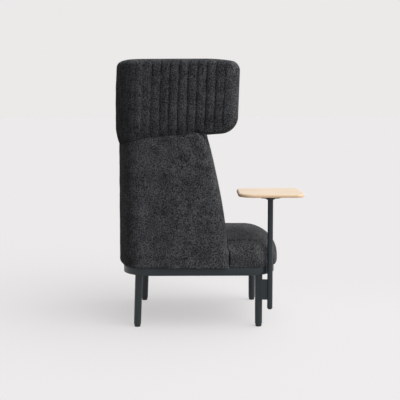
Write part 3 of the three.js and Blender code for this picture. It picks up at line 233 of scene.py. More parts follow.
def shell_top(y):
    """The seam line with the shoulder's swell, 14 (1 - (d / 55)^2)^2 about y = 12."""
    away = np.clip(np.abs(y - 12.0) / 55.0, 0, 1)
    return seam_line(y) + 14.0 * (1 - away**2) ** 2


def hood_foot(y):
    """The hood's lower edge: the shell's top edge and a seam gap, and from y = -28 toward the
    front a rise of 10 mm in 150."""
    return shell_top(y) + SEAM_GAP + 10.0 * np.clip((-28.0 - y) / 150.0, 0, 1)


def hood_top(y):
    """The hood's top edge, which from y = -29 falls 17 mm in 160 as a parabola."""
    return HOOD_TOP - 17.0 * np.clip((-29.0 - y) / 160.0, 0, 1) ** 2


def hood_front(share):
    """The hood's front line leans out from -178 mm at its foot to -189 mm at its top."""
    return -178.0 - 11.0 * share


def leaned(points):
    """Moves the lower back out: 4 mm at the foot and none at 795 mm, times the share of the
    way from the middle of the chair to its back."""
    lean = np.clip((LEAN_TOP - points[..., 2]) / (LEAN_TOP - SHELL_FOOT), 0, None)
    points[..., 1] += LEAN * lean * np.clip(points[..., 1] / SHELL["back"], 0, 1)
    return points


def both_halves(half):
    """A half outline with x mirrored and joined on: columns 0 to n, then n - 1 back to 0."""
    other = half[:, -2::-1].copy()
    other[..., 0] *= -1
    return np.concatenate([half, other], axis=1)


def nose(front, length, outer, inner, steps):
    """Half of a wall's round front edge in plan, a quarter ellipse from the tip to the face:
    x = middle + (outer - middle) cos a, y = front + length (1 - sin a)."""
    angle = np.linspace(QUARTER, 0, steps, endpoint=False)
    middle = (outer + inner) / 2
    x = middle + (outer - middle) * np.cos(angle)
    return x, front + length * (1 - np.sin(angle))


def nosed_faces(tip, sides, steps, level_of, outside, inside, forward=0.0):
    """The outer and the inner grid of points of a wall with a round front edge: half of the
    nose and the face outside, and the other half and the pocket inside. The inside's last
    column before the pocket keeps clear of the sitter's pad, 1.5 mm aside and some forward."""
    grids = []
    no_move, clear = (0.0, 0.0), (1.5, forward)
    for (near, far), move, face in ((sides, no_move, outside), (sides[::-1], clear, inside)):
        x, y = nose(*tip, near, far, steps)
        x[:, -1] += move[0]
        y[:, -1] -= move[1]
        grids.append(np.stack([np.hstack(pair) for pair in zip((x, y, level_of(y)), face)], -1))
    return grids


# ---- Meshes ----


def placed(name, data):
    """An object with that data, in the scene."""
    thing = bpy.data.objects.new(name, data)
    bpy.context.scene.collection.objects.link(thing)
    return thing


def net(index):
    """The four-sided faces of a grid of point numbers, rows by columns."""
    return np.stack(
        [index[:-1, :-1], index[:-1, 1:], index[1:, 1:], index[1:, :-1]], axis=-1
    ).reshape(-1, 4)


def level_rows(x, y, height):
    """The points of a grid whose rows lie at those heights, and the grid of their numbers."""
    z = np.broadcast_to(height[:, None], x.shape)
    return np.stack([x, y, z], axis=-1).reshape(-1, 3), np.arange(x.size).reshape(x.shape)


def closed_round(index):
    """A grid of point numbers whose first column comes again at its end."""
    return np.concatenate([index, index[:, :1]], axis=1)


def new_piece(name, points, quads, body="chair", sharp=60.0, groove_shade=None):
    """A smooth mesh piece from points in millimetres and faces. Points that no face uses are
    left out, and a face with a repeated corner becomes a triangle. It rides on a body and may
    carry a value per point that paints shade into its cloth."""
    used, quads = np.unique(quads, return_inverse=True)
    quads = quads.reshape(-1, 4)
    repeated = quads == np.roll(quads, -1, axis=1)
    folded = repeated.any(axis=1)
    triangles = quads[folded][~repeated[folded]].reshape(-1, 3)
    mesh = bpy.data.meshes.new(name)
    places = points[used] * MILLIMETRE + MIDDLE
    mesh.from_pydata(places, [], quads[~folded].tolist() + triangles.tolist())
    mesh.shade_smooth()
    mesh.set_sharp_from_angle(angle=math.radians(sharp))
    if groove_shade is not None:
        layer = mesh.attributes.new("groove_shade", "FLOAT", "POINT")
        layer.data.foreach_set("value", groove_shade[used].astype(np.float32))
    mesh.validate()
    mesh.update()
    piece = placed(name, mesh)
    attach(piece, body)
    return piece


def wall_piece(name, outer, inner, nosed, groove_shade=None):
    """Closes two grids of points, rows by columns, to one body: both faces, a strip along the
    first and the last row and, unless both grids meet at their ends, one at each end."""
    rows, columns = outer.shape[:2]
    out = np.arange(rows * columns).reshape(rows, columns)
    back = out + rows * columns
    points = np.concatenate([outer.reshape(-1, 3), inner.reshape(-1, 3)])
    if nosed:
        back[:, 0], back[:, -1] = out[:, 0], out[:, -1]
    quads = [
        net(out),
        net(back)[:, ::-1],
        net(np.stack([out[0], back[0]]))[:, ::-1],
        net(np.stack([out[-1], back[-1]])),
    ]
    if not nosed:
        quads.append(net(np.stack([out[:, 0], back[:, 0]], axis=1))[:, ::-1])
        quads.append(net(np.stack([out[:, -1], back[:, -1]], axis=1)))
    if groove_shade is not None:
        groove_shade = np.concatenate([groove_shade.reshape(-1), np.zeros(rows * columns)])
    return new_piece(name, points, np.concatenate(quads), groove_shade=groove_shade)


def turned_piece(name, profile, axis, lean=0.0):
    """A profile of (radius, height) pairs carried round an upright axis; with a lean each
    ring moves toward +Y by the lean for every millimetre that it lies lower."""
    profile, sides = np.asarray(profile, float), 64
    angle = np.linspace(0, 2 * np.pi, sides, endpoint=False)
    x = axis[0] + profile[:, :1] * np.cos(angle)
    y = axis[1] + profile[:, :1] * np.sin(angle) + lean * (profile[0, 1] - profile[:, 1:])
    points, index = level_rows(x, y, profile[:, 1])
    on_axis = profile[:, 0] == 0
    index[on_axis] = index[on_axis][:, :1]
    quads = net(closed_round(index))[:, ::-1]
    quads = quads[(quads[:, 0] != quads[:, 1]) | (quads[:, 2] != quads[:, 3])]
    return new_piece(name, points, quads, sharp=35.0)


def rounded_rectangle(half_x, half_y, corners, inset):
    """x and y round a rectangle with four round corners, a row for each inset: the corner's
    centre (half - r) and from it (r - inset) (cos a, sin a), over a quarter turn for each."""
    steps = corners.size // 4
    angle = np.concatenate([np.linspace(0, QUARTER, steps) + q * QUARTER for q in range(4)])
    side_x, side_y = np.repeat([[1, -1, -1, 1], [1, 1, -1, -1]], steps, axis=1)
    radius = corners - inset[:, None]
    x = (half_x - corners) * side_x + radius * np.cos(angle)
    return x, (half_y - corners) * side_y + radius * np.sin(angle)


# ---- Padded pieces ----


def shell_rows():
    """Heights and top shares of the shell's rows: even up to where the lean ends, then shares
    of the way to the top edge. A row's level is z below and lerp(795, top edge, share) above."""
    foot = SHELL_FOOT + np.array([0, 1, 2.5, 5, 9])
    upright = np.concatenate([foot, np.arange(302, LEAN_TOP, 5.0)])
    share = np.concatenate([np.linspace(0, 0.9, 12), [0.93, 0.955, 0.975, 0.99, 1.0]])
    height = np.concatenate([upright, LEAN_TOP + (WING_TOP - LEAN_TOP) * share])
    return height, np.concatenate([np.zeros(upright.size), share])


def shell_level(height, share, station):
    """The z of every point of the shell's rows."""
    upper = LEAN_TOP + (shell_top(station) - LEAN_TOP) * share[:, None]
    return np.where(height[:, None] <= LEAN_TOP, height[:, None], upper)


def side_distances(start, fixed_y, side_steps, corner_steps, bow_steps):
    """Distances on the shell's plan from each row's start to the middle of the back: even down
    to a fixed y, so that only the front stretches, then the same on every row."""
    _, bow_end, corner_end, _, _ = plan_marks(SHELL)
    fixed = distance_to(SHELL, fixed_y)
    lead = np.linspace(0, 1, side_steps, endpoint=False)
    front = start[:, None] + (fixed - start[:, None]) * lead
    rest = np.concatenate([
        np.linspace(fixed, corner_end, side_steps, endpoint=False),
        np.linspace(corner_end, bow_end, corner_steps, endpoint=False),
        np.linspace(bow_end, 0, bow_steps),
    ])
    return np.concatenate([front, np.repeat(rest[None], start.size, axis=0)], axis=1)


def outer_shell():
    """The padding round the outside and the front edge of the wings: the plan of the shell,
    drawn in by a quarter round at its foot and at the seam, with a pocket for the board. It
    is creased where the seat pulls on it, by 12 (|sin((z - 490 - 0.014 d^2) / 13.7)| - 0.6)
    at a distance d from a line 27 mm behind the front edge, and sewn 4 mm behind that edge."""
    height, share = shell_rows()
    front = wing_front(height)
    foot = round_inset(height - SHELL_FOOT, 3.0)
    seam = round_inset((1 - share) * (WING_TOP - LEAN_TOP), 2.2)
    inset = np.where(share > 0, seam, foot)
    start = distance_to(SHELL, front + WING_NOSE)
    distance = side_distances(start, 70.0, 26, 18, 30)
    level = shell_level(height, share, station_of(SHELL, distance))

    creases = 1.1 * ripple(distance, level * 1.8, 170.0, 5)
    creases += 0.45 * ripple(distance, level, 45.0, 8)
    from_front = start[:, None] - distance
    pulled = from_front - 27.0
    near_seat = hump(pulled, 24.0) * hump(level - 514.0, 34.0)
    fold = np.abs(np.sin((level - 490.0 - 0.014 * pulled**2) / 13.7))
    creases += 12.0 * near_seat * (fold - 0.6)
    sewn = 0.9 * hump(from_front - 4.0, 2.2)
    drawn_in = inset[:, None] + corner_ease(SHELL, distance) - creases * 0.6 + sewn
    x, y = along_plan(SHELL, distance, drawn_in)

    tip = (front + inset)[:, None], (WING_NOSE - inset)[:, None]
    sides = (SHELL["half"] - inset)[:, None], (INNER_HALF + inset)[:, None]
    outer, inner = nosed_faces(
        tip, sides, 16, lambda edge_y: shell_level(height, share, edge_y),
        (x, y, level), (*along_plan(SHELL, distance, SHELL_PAD), level), forward=0.5,
    )
    return wall_piece("outer_shell", leaned(both_halves(outer)), leaned(both_halves(inner)), True)


def sitters_face(plan, facing, distance, ends, swell):
    """x and y of padding on the sitter's side: the inner plan with a seam 2.6 mm deep 30 mm
    past the bow's end, where the back turns into the wing, and a front edge round of 5 mm."""
    bow_end = plan_marks(plan)[1]
    seam = 2.6 * hump(facing - bow_end - 30.0, 2.6)
    edge = round_inset(distance[:, :1] - distance, 5.0) * 0.8
    return along_plan(plan, facing, -(seam + edge + ends - swell * 0.6))


def sitter_back():
    """The padding on the sitter's side of the wings and the back: the inner plan at each
    height, on the shell's board and above 850 mm on the hood's board, which laps inside it.
    Its last two rows rise past the seam into the hood."""
    height, share = shell_rows()
    keep = height >= DECK_TOP
    height = np.concatenate([[DECK_TOP + 0.3], height[keep], [915.0, 922.0]])
    share = np.concatenate([[0.0], share[keep], [1.0, 1.0]])
    past_seam = 20.5
    rise = np.concatenate([np.zeros(height.size - 2), [12.0, past_seam]])
    start = distance_to(SHELL, wing_front(np.minimum(height, WING_TOP)) + WING_NOSE + 0.5)
    distance = side_distances(start, 60.0, 18, 16, 26)
    level = shell_level(height, share, station_of(SHELL, distance)) + rise[:, None]
    plan = inner_plan(height[:, None])
    facing = matched(SHELL, distance, plan)
    top_edge = round_inset(past_seam - rise, 7.0)[:, None]
    swell = 1.0 * ripple(facing, level * 1.3, 140.0, 21) + 0.3 * ripple(facing, level, 38.0, 23)
    inner_x, inner_y = sitters_face(plan, facing, distance, top_edge, swell)
    under_lap = (level < 850) | (share[:, None] < 0.2)
    depth = np.where(under_lap, SHELL_BOARD, HOOD_BOARD + 0.3)
    outer = np.stack([*along_plan(SHELL, distance, depth), level], -1)
    inner = np.stack([inner_x, inner_y, level], -1)
    return wall_piece("sitter_back", leaned(both_halves(outer)), leaned(both_halves(inner)), False)


def hood_rows():
    """For every row of the hood its rise above the foot, its drop below the top, and the
    weight that runs from the foot line to the top line in between."""
    swell = np.concatenate([[0, 0.8, 2, 4, 7, 11, 16], np.arange(22, SWELL_HIGH, 8.0)])
    upright = np.linspace(0, 1, 24)
    roll = np.array([HOOD_ROLL, 34, 30, 26, 20, 15, 11, 7.5, 4.5, 2.2, 0.8, 0])
    rise = np.concatenate([swell, np.full(upright.size + roll.size, SWELL_HIGH)])
    drop = np.concatenate([np.full(swell.size + upright.size, HOOD_ROLL), roll])
    weight = np.concatenate([np.zeros(swell.size), upright, np.ones(roll.size)])
    return rise, drop, weight


def hood_level(rise, drop, weight, station):
    """z = (1 - w) (foot line + rise) + w (top line - drop)."""
    w = weight[:, None]
    return (1 - w) * (hood_foot(station) + rise[:, None]) + w * (hood_top(station) - drop[:, None])


def channelled_hood():
    """The hood's cover: stitched vertical channels round the outside, each a soft tube of
    depth 7 |2 f - 1|^3.2 mm over its width f from 0 to 1 and shallower where the cloth is
    pulled taut round the corner, a plain round front edge, a rolled top, and a foot that
    swells out over the seam. A pocket inside holds board and lining."""
    rise, drop, weight = hood_rows()
    at_foot, at_top = weight == 0, weight == 1
    tall = HOOD_TOP - SEAM_HEIGHT
    share = ((1 - weight) * rise + weight * (tall - drop)) / tall
    retreat = round_inset(rise, HOOD_CORNER) * at_foot + round_inset(drop, HOOD_ROLL) * at_top
    nose_share = np.interp(rise, [0, 14, 45, 80], [0.25, 0.6, 0.9, 1.0])
    nose_share *= np.interp(drop, [0, 2, 10, 26, 38], [0.3, 0.42, 0.66, 0.93, 1.0])
    front = hood_front(share) + retreat
    length = HOOD_NOSE * nose_share
    swell = HOOD_SWELL * (1 - np.clip(rise / SWELL_HIGH, 0, 1)) ** 2 * at_foot
    depth = np.interp(rise, [0, 14, 45], [0.5, 0.8, 1.0])
    depth = depth * np.interp(drop, [0, 2, 10, 26], [0.3, 0.5, 0.8, 1.0])

    # the channels' places along the hood, 11 points to each, and a plain strip before them
    end = distance_to(HOOD, CHANNEL_FRONT)
    per = 11
    last = round(end / CHANNEL_PITCH) * per
    marks = np.arange(last, -1, -1)
    up = share[:, None] * 340
    groove_at = (end + CHANNEL_LEAN * (2 * share - 1))[:, None] * (marks / last)
    groove_at += 1.1 * ripple(groove_at * 3.0, up, 150.0, 3)
    groove_at[:, -1] = 0
    first = distance_to(HOOD, front + length)[:, None]
    plain = first - PLAIN_EDGE
    lead = np.linspace(0, 1, 9, endpoint=False)
    lead_at = first + (np.minimum(groove_at[:, :1], plain) - first) * lead
    crowd = plain - 0.15 * np.arange(marks.size)
    distance = np.concatenate([lead_at, np.minimum(groove_at, crowd)], axis=1)

    tube = np.abs(2 * (marks % per / per) - 1) ** 3.2
    clear = np.clip((plain - groove_at) / 26.0, 0, 1)
    uneven = 1 + 0.16 * ripple(groove_at, up * 1.7, 90.0, 12)
    _, bow_end, corner_end, _, _ = plan_marks(HOOD)
    taut = 1 - 0.7 * hump(groove_at - (bow_end + corner_end) / 2, 110.0)
    sunk = tube * depth[:, None] * clear * uneven * taut
    sunk = np.concatenate([np.zeros((rise.size, lead.size)), sunk], axis=1)
    station = station_of(HOOD, distance)
    level = hood_level(rise, drop, weight, station)
    overhang = np.clip((LAP_FRONT - station) / 30.0, 0, 1)
    foot_tip = round_inset(rise, 14.0)[:, None]
    foot_round = foot_tip * overhang + round_inset(rise, 1.6)[:, None] * (1 - overhang)
    puff = 0.7 * ripple(distance, level, 60.0, 14) + 0.8 * ripple(distance, level * 0.6, 210.0, 15)
    drawn_in = swell[:, None] + foot_round + CHANNEL_DEPTH * sunk + corner_ease(HOOD, distance)
    x, y = along_plan(HOOD, distance, drawn_in - puff)
    # toward its top the hood's back comes in by 12 mm
    y -= 12.0 * share[:, None] ** 3 * np.clip(y / SHELL["back"], 0, 1)

    # inside, the lips at the top and at the free lower edge lie on the sitter's side, and the
    # rest is the pocket's floor
    top_lip = (at_top & (drop <= HOOD_LIP))[:, None]
    foot_lip = (at_foot & (rise <= HOOD_LIP))[:, None]
    closed = top_lip | (foot_lip & (station < LAP_FRONT))
    pocket = along_plan(SHELL, matched(HOOD, distance, SHELL), POCKET)
    plan = inner_plan((SEAM_HEIGHT + share * tall)[:, None])
    lips = along_plan(plan, matched(HOOD, distance, plan), -foot_tip)
    inside = [np.where(closed, *pair) for pair in zip(lips, pocket)]
    tip, steps = (front[:, None], length[:, None]), 18
    sides = HOOD["half"] - swell[:, None] - foot_tip, INNER_HALF + foot_tip
    outer, inner = nosed_faces(
        tip, sides, steps, lambda edge_y: hood_level(rise, drop, weight, edge_y),
        (x, y, level), (*inside, level),
    )
    # the roll over the top: both faces move toward each other by a superellipse share
    angle = np.clip(1 - drop / 30.0, 0, 1)
    closing = 0.49 * (1 - (1 - angle**2.4) ** (1 / 2.4)) * at_top
    across = (inner - outer) * top_lip[..., None]
    roll = closing[:, None, None]
    outer, inner = outer + across * roll, inner - across * roll

    # painted shade: the cloth is darkened in the grooves, by the fourth power of their depth, and,
    # behind the plain front edge, a little over all the channelled part, as if shaded
    groove_shade = np.zeros(outer.shape[:2])
    hood_shade = 0.3 * np.clip((plain - distance) / 30.0, 0, 1)
    groove_shade[:, steps:] = hood_shade + (1 - hood_shade) * np.clip(sunk, 0, 1) ** 4
    groove_shade = np.concatenate([groove_shade, groove_shade[:, -2::-1]], axis=1)
    return wall_piece("channelled_hood", both_halves(outer), both_halves(inner), True, groove_shade)


def inner_hood():
    """The padding on the sitter's side of the hood, with its edges rolled back to its board:
    even rows between the foot line and the top line, each a lip away."""
    way = np.linspace(0, 1, 40)
    tall = HOOD_TOP - SEAM_HEIGHT
    share = (HOOD_LIP + 2 + way * (tall - 2 * HOOD_LIP - 3)) / tall
    start = distance_to(SHELL, hood_front(share) + HOOD_NOSE + 0.5)
    distance = side_distances(start, 60.0, 26, 16, 26)
    station = station_of(SHELL, distance)
    foot = hood_foot(station) + HOOD_LIP + SEAM_GAP
    top = hood_top(station) - HOOD_LIP - 0.5
    level = foot + (top - foot) * way[:, None]
    plan = inner_plan((SEAM_HEIGHT + share * tall)[:, None])
    facing = matched(SHELL, distance, plan)
    ends = round_inset(np.minimum(level - foot, top - level), 9.0)
    swell = 0.9 * ripple(facing, level * 1.2, 150.0, 41) + 0.3 * ripple(facing, level, 40.0, 43)
    outer = np.stack([*along_plan(SHELL, distance, HOOD_BOARD + 0.6), level], -1)
    inner = np.stack([*sitters_face(plan, facing, distance, ends, swell), level], -1)
    return wall_piece("inner_hood", both_halves(outer), both_halves(inner), False)


def seat_base():
    """The seat's lower pad: a block with round front corners and a soft shoulder, drawn in by
    72 (1 - cos a) at z = 333 + 72 sin a, so that its side shows as a D. Behind the wings'
    front edge it is as narrow as the room."""
    rise = np.concatenate([[0, 0.5, 1.2, 2.5, 5, 9], np.linspace(16, 44, 7)])
    angle = np.linspace(0, QUARTER, 22)
    # the first two rows are the room for the deck, which the pad's foot reaches round
    inset = np.concatenate(
        [[DECK_ROOM, DECK_ROOM], round_inset(rise, 2.5), PAD_SHOULDER * (1 - np.cos(angle))]
    )[:, None]
    shoulder = PAD_TOP - PAD_SHOULDER + PAD_SHOULDER * np.sin(angle)
    z = np.concatenate([[DECK_TOP + 0.3, SHELL_FOOT], SHELL_FOOT + rise, shoulder])[:, None]
    proud = 3.5 * (1 - inset / PAD_SHOULDER)
    near_foot = np.clip((SHELL_FOOT + 25.0 - z) / 25.0, 0, 1)
    step = wing_step(z)

    front_x = np.tile(np.linspace(0, PAD_ARC_X, 22, endpoint=False), (z.size, 1))
    front_y = np.repeat(PAD_FRONT + inset, 22, axis=1)
    turn = np.linspace(0, QUARTER, 14, endpoint=False)
    corner_x = PAD_ARC_X + (PAD_CORNER - inset + proud) * np.sin(turn)
    corner_y = PAD_ARC_Y - (PAD_CORNER - inset) * np.cos(turn)
    # at its foot the corner spreads, so that it lies on the ring all the way round
    out_x = corner_x - (RING_HALF_X - RING_CORNER)
    out_y = corner_y + (RING_HALF_Y - RING_CORNER)
    spread = np.clip((RING_CORNER - 2.5) / np.hypot(out_x, out_y) - 1, 0, None) * near_foot
    corner_x, corner_y = corner_x + out_x * spread, corner_y + out_y * spread
    side_y = np.linspace(PAD_ARC_Y, PAD_SIDE_END, 12, endpoint=False)
    side_y = side_y + step * np.linspace(0, 1, 12, endpoint=False)
    side_x = np.repeat(PAD_HALF + proud - inset, 12, axis=1)
    tuck = np.linspace(0, QUARTER, 7)
    edge_x = PAD_HALF + proud - inset - PAD_TUCK * (1 - np.cos(tuck))
    edge_x = np.maximum(edge_x, PAD_NARROW)
    edge_y = PAD_SIDE_END + PAD_TUCK * np.sin(tuck) + step + 5.0 * near_foot * np.sin(tuck)
    # round the wing's front edge, between the wings and along the back, with the shares of
    # the wing's step and of the foot's reach at each point
    notch_x, notch_y = np.array([
        (288, -143.4), (272, -142.5), (258, -134), (250.5, -117), (248.6, -104), (248.6, 20),
        (248.6, 140), (238, 170), (205, 190), (150, 199), (80, 202), (0, 203),
    ]).T
    stepped = np.array([1, 1, 0.9, 0.4] + [0] * 8)
    reached = np.array([1, 0.8, 0.2] + [0] * 9)
    notch_x = np.minimum(notch_x, np.maximum(PAD_HALF - inset - PAD_TUCK, PAD_NARROW))
    notch_y = notch_y + step * stepped + 5.0 * near_foot * reached

    bulge = 1.6 * ripple(side_y, z, 90.0, 50)
    bump = 1.3 * ripple(front_x, z, 80.0, 51)
    x = np.hstack([front_x, corner_x, side_x - 0.4 * bulge, edge_x, notch_x])
    y = np.hstack([front_y - 0.3 * bump, corner_y, side_y, edge_y, notch_y])
    half = np.stack([x, y, np.broadcast_to(z, x.shape)], -1)
    return wall_piece("seat_base", half, half * [-1, 1, 1], True)


def base_surface(x, inset):
    """y and z of the lower pad's front shoulder at a place across it, at an inset: the corner
    arc's y in plan, and z = 405 - 72 (1 - sqrt(1 - (1 - inset / 72)^2))."""
    over = np.clip(np.abs(x) - PAD_ARC_X, 0, None)
    y = PAD_ARC_Y - np.sqrt(np.clip((PAD_CORNER - inset) ** 2 - over**2, 0, None))
    fallen = 1 - np.sqrt(np.clip(1 - (1 - inset / PAD_SHOULDER) ** 2, 0, 1))
    return y, PAD_TOP - PAD_SHOULDER * fallen


def seat_waterfall():
    """The seat's upper pad: ribs from the back over a crowned top and down a rolled front,
    y = start - run sin(a)^(2/2.15), z = foot + fall cos(a)^(2/2.15), lying on the lower pad."""
    turn = np.linspace(0, QUARTER, 12)
    straight = TOP_PAD_HALF - TOP_PAD_CORNER
    corner = straight + TOP_PAD_CORNER * np.sin(turn)
    half_x = np.concatenate([np.linspace(0, straight, 34, endpoint=False), corner])[:, None]
    retreat = np.concatenate([np.zeros(34), TOP_PAD_CORNER * (1 - np.cos(turn))])[:, None]
    from_side = TOP_PAD_HALF - half_x
    crown = TOP_PAD_CROWN - 26.0 * (half_x / 250.0) ** 2 - round_inset(from_side, 9.0)
    front = TOP_PAD_FRONT + TOP_PAD_BOW - np.sqrt(TOP_PAD_BOW**2 - half_x**2) + retreat
    ribs, flat, rolled, under = half_x.size, 52, 44, 5

    power = 2 / 2.15
    a = np.linspace(0, QUARTER, rolled)
    flat_y = np.tile(np.linspace(TOP_PAD_BACK, ROLL_START, flat, endpoint=False), (ribs, 1))
    roll_y = ROLL_START - (ROLL_START - front) * np.sin(a) ** power
    roll_z = ROLL_FOOT + (crown - ROLL_FOOT) * np.clip(np.cos(a), 0, 1) ** power
    under_z = np.tile(np.linspace(303, SHELL_FOOT + 0.5, under), (ribs, 1))
    outer_y = np.hstack([flat_y, roll_y, np.repeat(front, under, axis=1)])
    outer_z = np.hstack([np.repeat(crown, flat, axis=1), roll_z, under_z])
    folds = 1.5 * ripple(outer_y, half_x, 150.0, 61) + 0.5 * ripple(outer_y, half_x, 48.0, 62)
    outer_z = outer_z + folds * np.clip((outer_z - 320.0) / 60.0, 0, 1) * 0.6

    # the underside lies 1 mm over the lower pad's top and 1.2 mm before its front
    largest = np.minimum(PAD_SHOULDER, PAD_CORNER - np.clip(half_x - PAD_ARC_X, 0, None))
    rest_y, rest_z = base_surface(half_x, largest * np.linspace(1, 0, rolled) ** 1.6)
    flat_y = np.linspace(TOP_PAD_BACK, rest_y[:, 0], flat, endpoint=False, axis=1)
    under_z = np.tile(np.linspace(330, SHELL_FOOT + 0.5, under + 1)[1:], (ribs, 1))
    inner_y = np.hstack([flat_y, rest_y - 1.2, np.repeat(rest_y[:, -1:] - 1.2, under, axis=1)])
    inner_z = np.hstack([np.repeat(rest_z[:, :1] + 1.0, flat, axis=1), rest_z + 1.0, under_z])

    # in front, the outer face rounds in to the underside at the pad's side
    thick = np.hypot(outer_y - inner_y, outer_z - inner_z)
    share = np.clip(round_inset(from_side, 14.0) / np.maximum(thick, 1.0), 0, 0.46)
    share = share * np.clip((-150.0 - outer_y) / 60.0, 0, 1)
    x = np.broadcast_to(half_x, outer_y.shape)
    outer, inner = np.stack([x, outer_y, outer_z], -1), np.stack([x, inner_y, inner_z], -1)
    outer = outer + (inner - outer) * share[..., None]
    faces = [np.concatenate([(face * [-1, 1, 1])[:0:-1], face]) for face in (outer, inner)]
    return wall_piece("seat_waterfall", *faces, False)


# ---- Hard pieces with finer rounds than the solids ----


def ring_band():
    """The steel band: a rounded-rectangle path with arcs of 140 mm, and at each point a
    section of 6 by 36.5 mm with edges broken by 1.2 mm."""
    edge = np.array([0, 0.35, 1.2])
    broken = edge[::-1]
    low, high = RING_TOP - RING_DEEP, RING_TOP
    inset = np.concatenate([broken, [0.0], edge, RING_THICK - broken, RING_THICK - edge])
    height = np.concatenate([low + edge, [low + 18.0], high - broken, high - edge, low + broken])
    x, y = rounded_rectangle(RING_HALF_X, RING_HALF_Y, np.full(100, RING_CORNER), inset)
    points, index = level_rows(x, y, height)
    quads = net(closed_round(np.concatenate([index, index[:1]])))
    return new_piece("ring_band", points, quads, sharp=30.0)


def leg_pieces():
    """Pairs of a tapered round leg, 35 mm across at the rail and 33.5 mm at the foot, and its
    glide, whose lower edge has a round of 3 mm; the rear legs are raked by 2.4 degrees."""
    pairs = []
    leg_profile = [
        (0, LEG_TOP), (17.0, LEG_TOP), (17.5, LEG_TOP - 0.5),
        (16.75, LEG_FOOT + 0.6), (16.3, LEG_FOOT), (0, LEG_FOOT),
    ]
    turn = np.linspace(0, QUARTER, 7)
    lower_edge = np.stack([11.5 + 3 * np.cos(turn), 3 - 3 * np.sin(turn)], -1)
    glide_profile = [(0, 27.0), (6, 27.0), (6, LEG_FOOT), (14.5, LEG_FOOT)]
    glide_profile += [*lower_edge.tolist(), (0, 0)]
    for end, y, rake in (("front", -279.0, 0.0), ("rear", 278.0, math.tan(math.radians(2.4)))):
        for side, x in (("right", -266.0), ("left", 266.0)):
            leg = turned_piece(f"leg_tube_{end}_{side}", leg_profile, (x, y), lean=rake)
            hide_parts(f"leg_{end}_{side}")
            foot = (x, y + rake * (LEG_TOP - LEG_FOOT))
            glide = turned_piece(f"glide_cap_{end}_{side}", glide_profile, foot)
            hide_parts(f"glide_{end}_{side}")
            pairs.append((leg, glide))
    return pairs


def table_pieces():
    """The pole and its domed cap, and the top: a rounded rectangle whose edge is well rounded
    above, by 9 mm, and only eased below, by 1.3 mm."""
    pole_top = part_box("table_pole")[1].z / MILLIMETRE
    rim = POLE_RADIUS - 0.5
    pole = turned_piece(
        "pole_tube",
        [(POLE_BORE, pole_top), (rim, pole_top), (POLE_RADIUS, pole_top - 0.5),
         (POLE_RADIUS, POLE_FOOT + 0.5), (rim, POLE_FOOT), (POLE_BORE, POLE_FOOT),
         (POLE_BORE, pole_top)],
        POLE_AXIS,
    )
    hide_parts("table_pole")
    plug, plug_top, dome_deep = POLE_BORE - 0.3, POLE_FOOT + 18.0, 10.0
    dome = [
        (POLE_RADIUS * math.cos(a), POLE_FOOT - dome_deep * math.sin(a))
        for a in np.linspace(0, QUARTER, 9)[:-1]
    ]
    cap = turned_piece(
        "pole_dome",
        [(0, plug_top), (plug, plug_top), (plug, POLE_FOOT), *dome, (0, POLE_FOOT - dome_deep)],
        POLE_AXIS,
    )
    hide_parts("pole_end_cap")

    over, under = np.linspace(0, QUARTER, 6), np.linspace(0, QUARTER, 8)
    inset = np.concatenate([1.3 * (1 - np.sin(under)), 9.0 * (1 - np.cos(over))])
    height = np.concatenate(
        [TABLE_LOW + 1.3 * (1 - np.cos(under)), TABLE_TOP - 9.0 * (1 - np.sin(over))]
    )
    # the outer rear corner is rounder than the others
    corners = np.repeat([40.0, 72.0, 40.0, 40.0], 17)
    x, y = rounded_rectangle(TABLE_HALF_X, TABLE_HALF_Y, corners, inset)
    points, index = level_rows(x + POLE_AXIS[0] + TABLE_SHIFT, y + POLE_AXIS[1], height)
    # the underside and the top are strips of faces from one long side to the other
    half = corners.size // 2
    strips = [np.stack([row[:half], row[: half - 1 : -1]]) for row in (index[0], index[-1])]
    quads = np.concatenate([net(closed_round(index)), net(strips[0]), net(strips[1])[:, ::-1]])
    top = new_piece("veneered_top", points, quads, body="table", sharp=40.0)
    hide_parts("tabletop")
    return pole, cap, top


# ---- Finishes ----


def linear(colour):
    """An sRGB hex colour as linear red, green, blue and 1: c / 12.92 up to 0.04045, and
    ((c + 0.055) / 1.055)^2.4 above."""
    parts = [int(colour[i : i + 2], 16) / 255 for i in (1, 3, 5)]
    return (*[c / 12.92 if c <= 0.04045 else ((c + 0.055) / 1.055) ** 2.4 for c in parts], 1.0)


def add(tree, kind, links=None, values=None, **settings):
    """One shader node of a kind, with its properties, its input values, and links into its
    inputs; a node given as a link's source stands for its first output."""
    made = tree.nodes.new("ShaderNode" + kind)
    for name, value in settings.items():
        setattr(made, name, value)
    for name, value in (values or {}).items():
        made.inputs[name].default_value = value
    for name, source in (links or {}).items():
        tree.links.new(made.inputs[name], getattr(source, "outputs", [source])[0])
    return made


def two_colours(first, second):
    """The values of a colour mix: its two colour inputs are numbers 6 and 7."""
    return {6: linear(first), 7: linear(second)}


def between(low, high, least, most):
    """The values that carry the numbers from low to high on to those from least to most."""
    return {"From Min": low, "From Max": high, "To Min": least, "To Max": most}


def new_material(name, shown):
    """A material with the colour that a plain viewer shows for it, its empty node tree, and
    the Object coordinates in it."""
    material = bpy.data.materials.new(name)
    material.use_nodes = True
    material.node_tree.nodes.clear()
    material.diffuse_color = linear(shown)
    tree = material.node_tree
    return material, tree, add(tree, "TexCoord").outputs["Object"]


def cells(size):
    """The scale of a pattern on Object coordinates whose cells are that many millimetres."""
    return 1.0 / (size * MILLIMETRE)


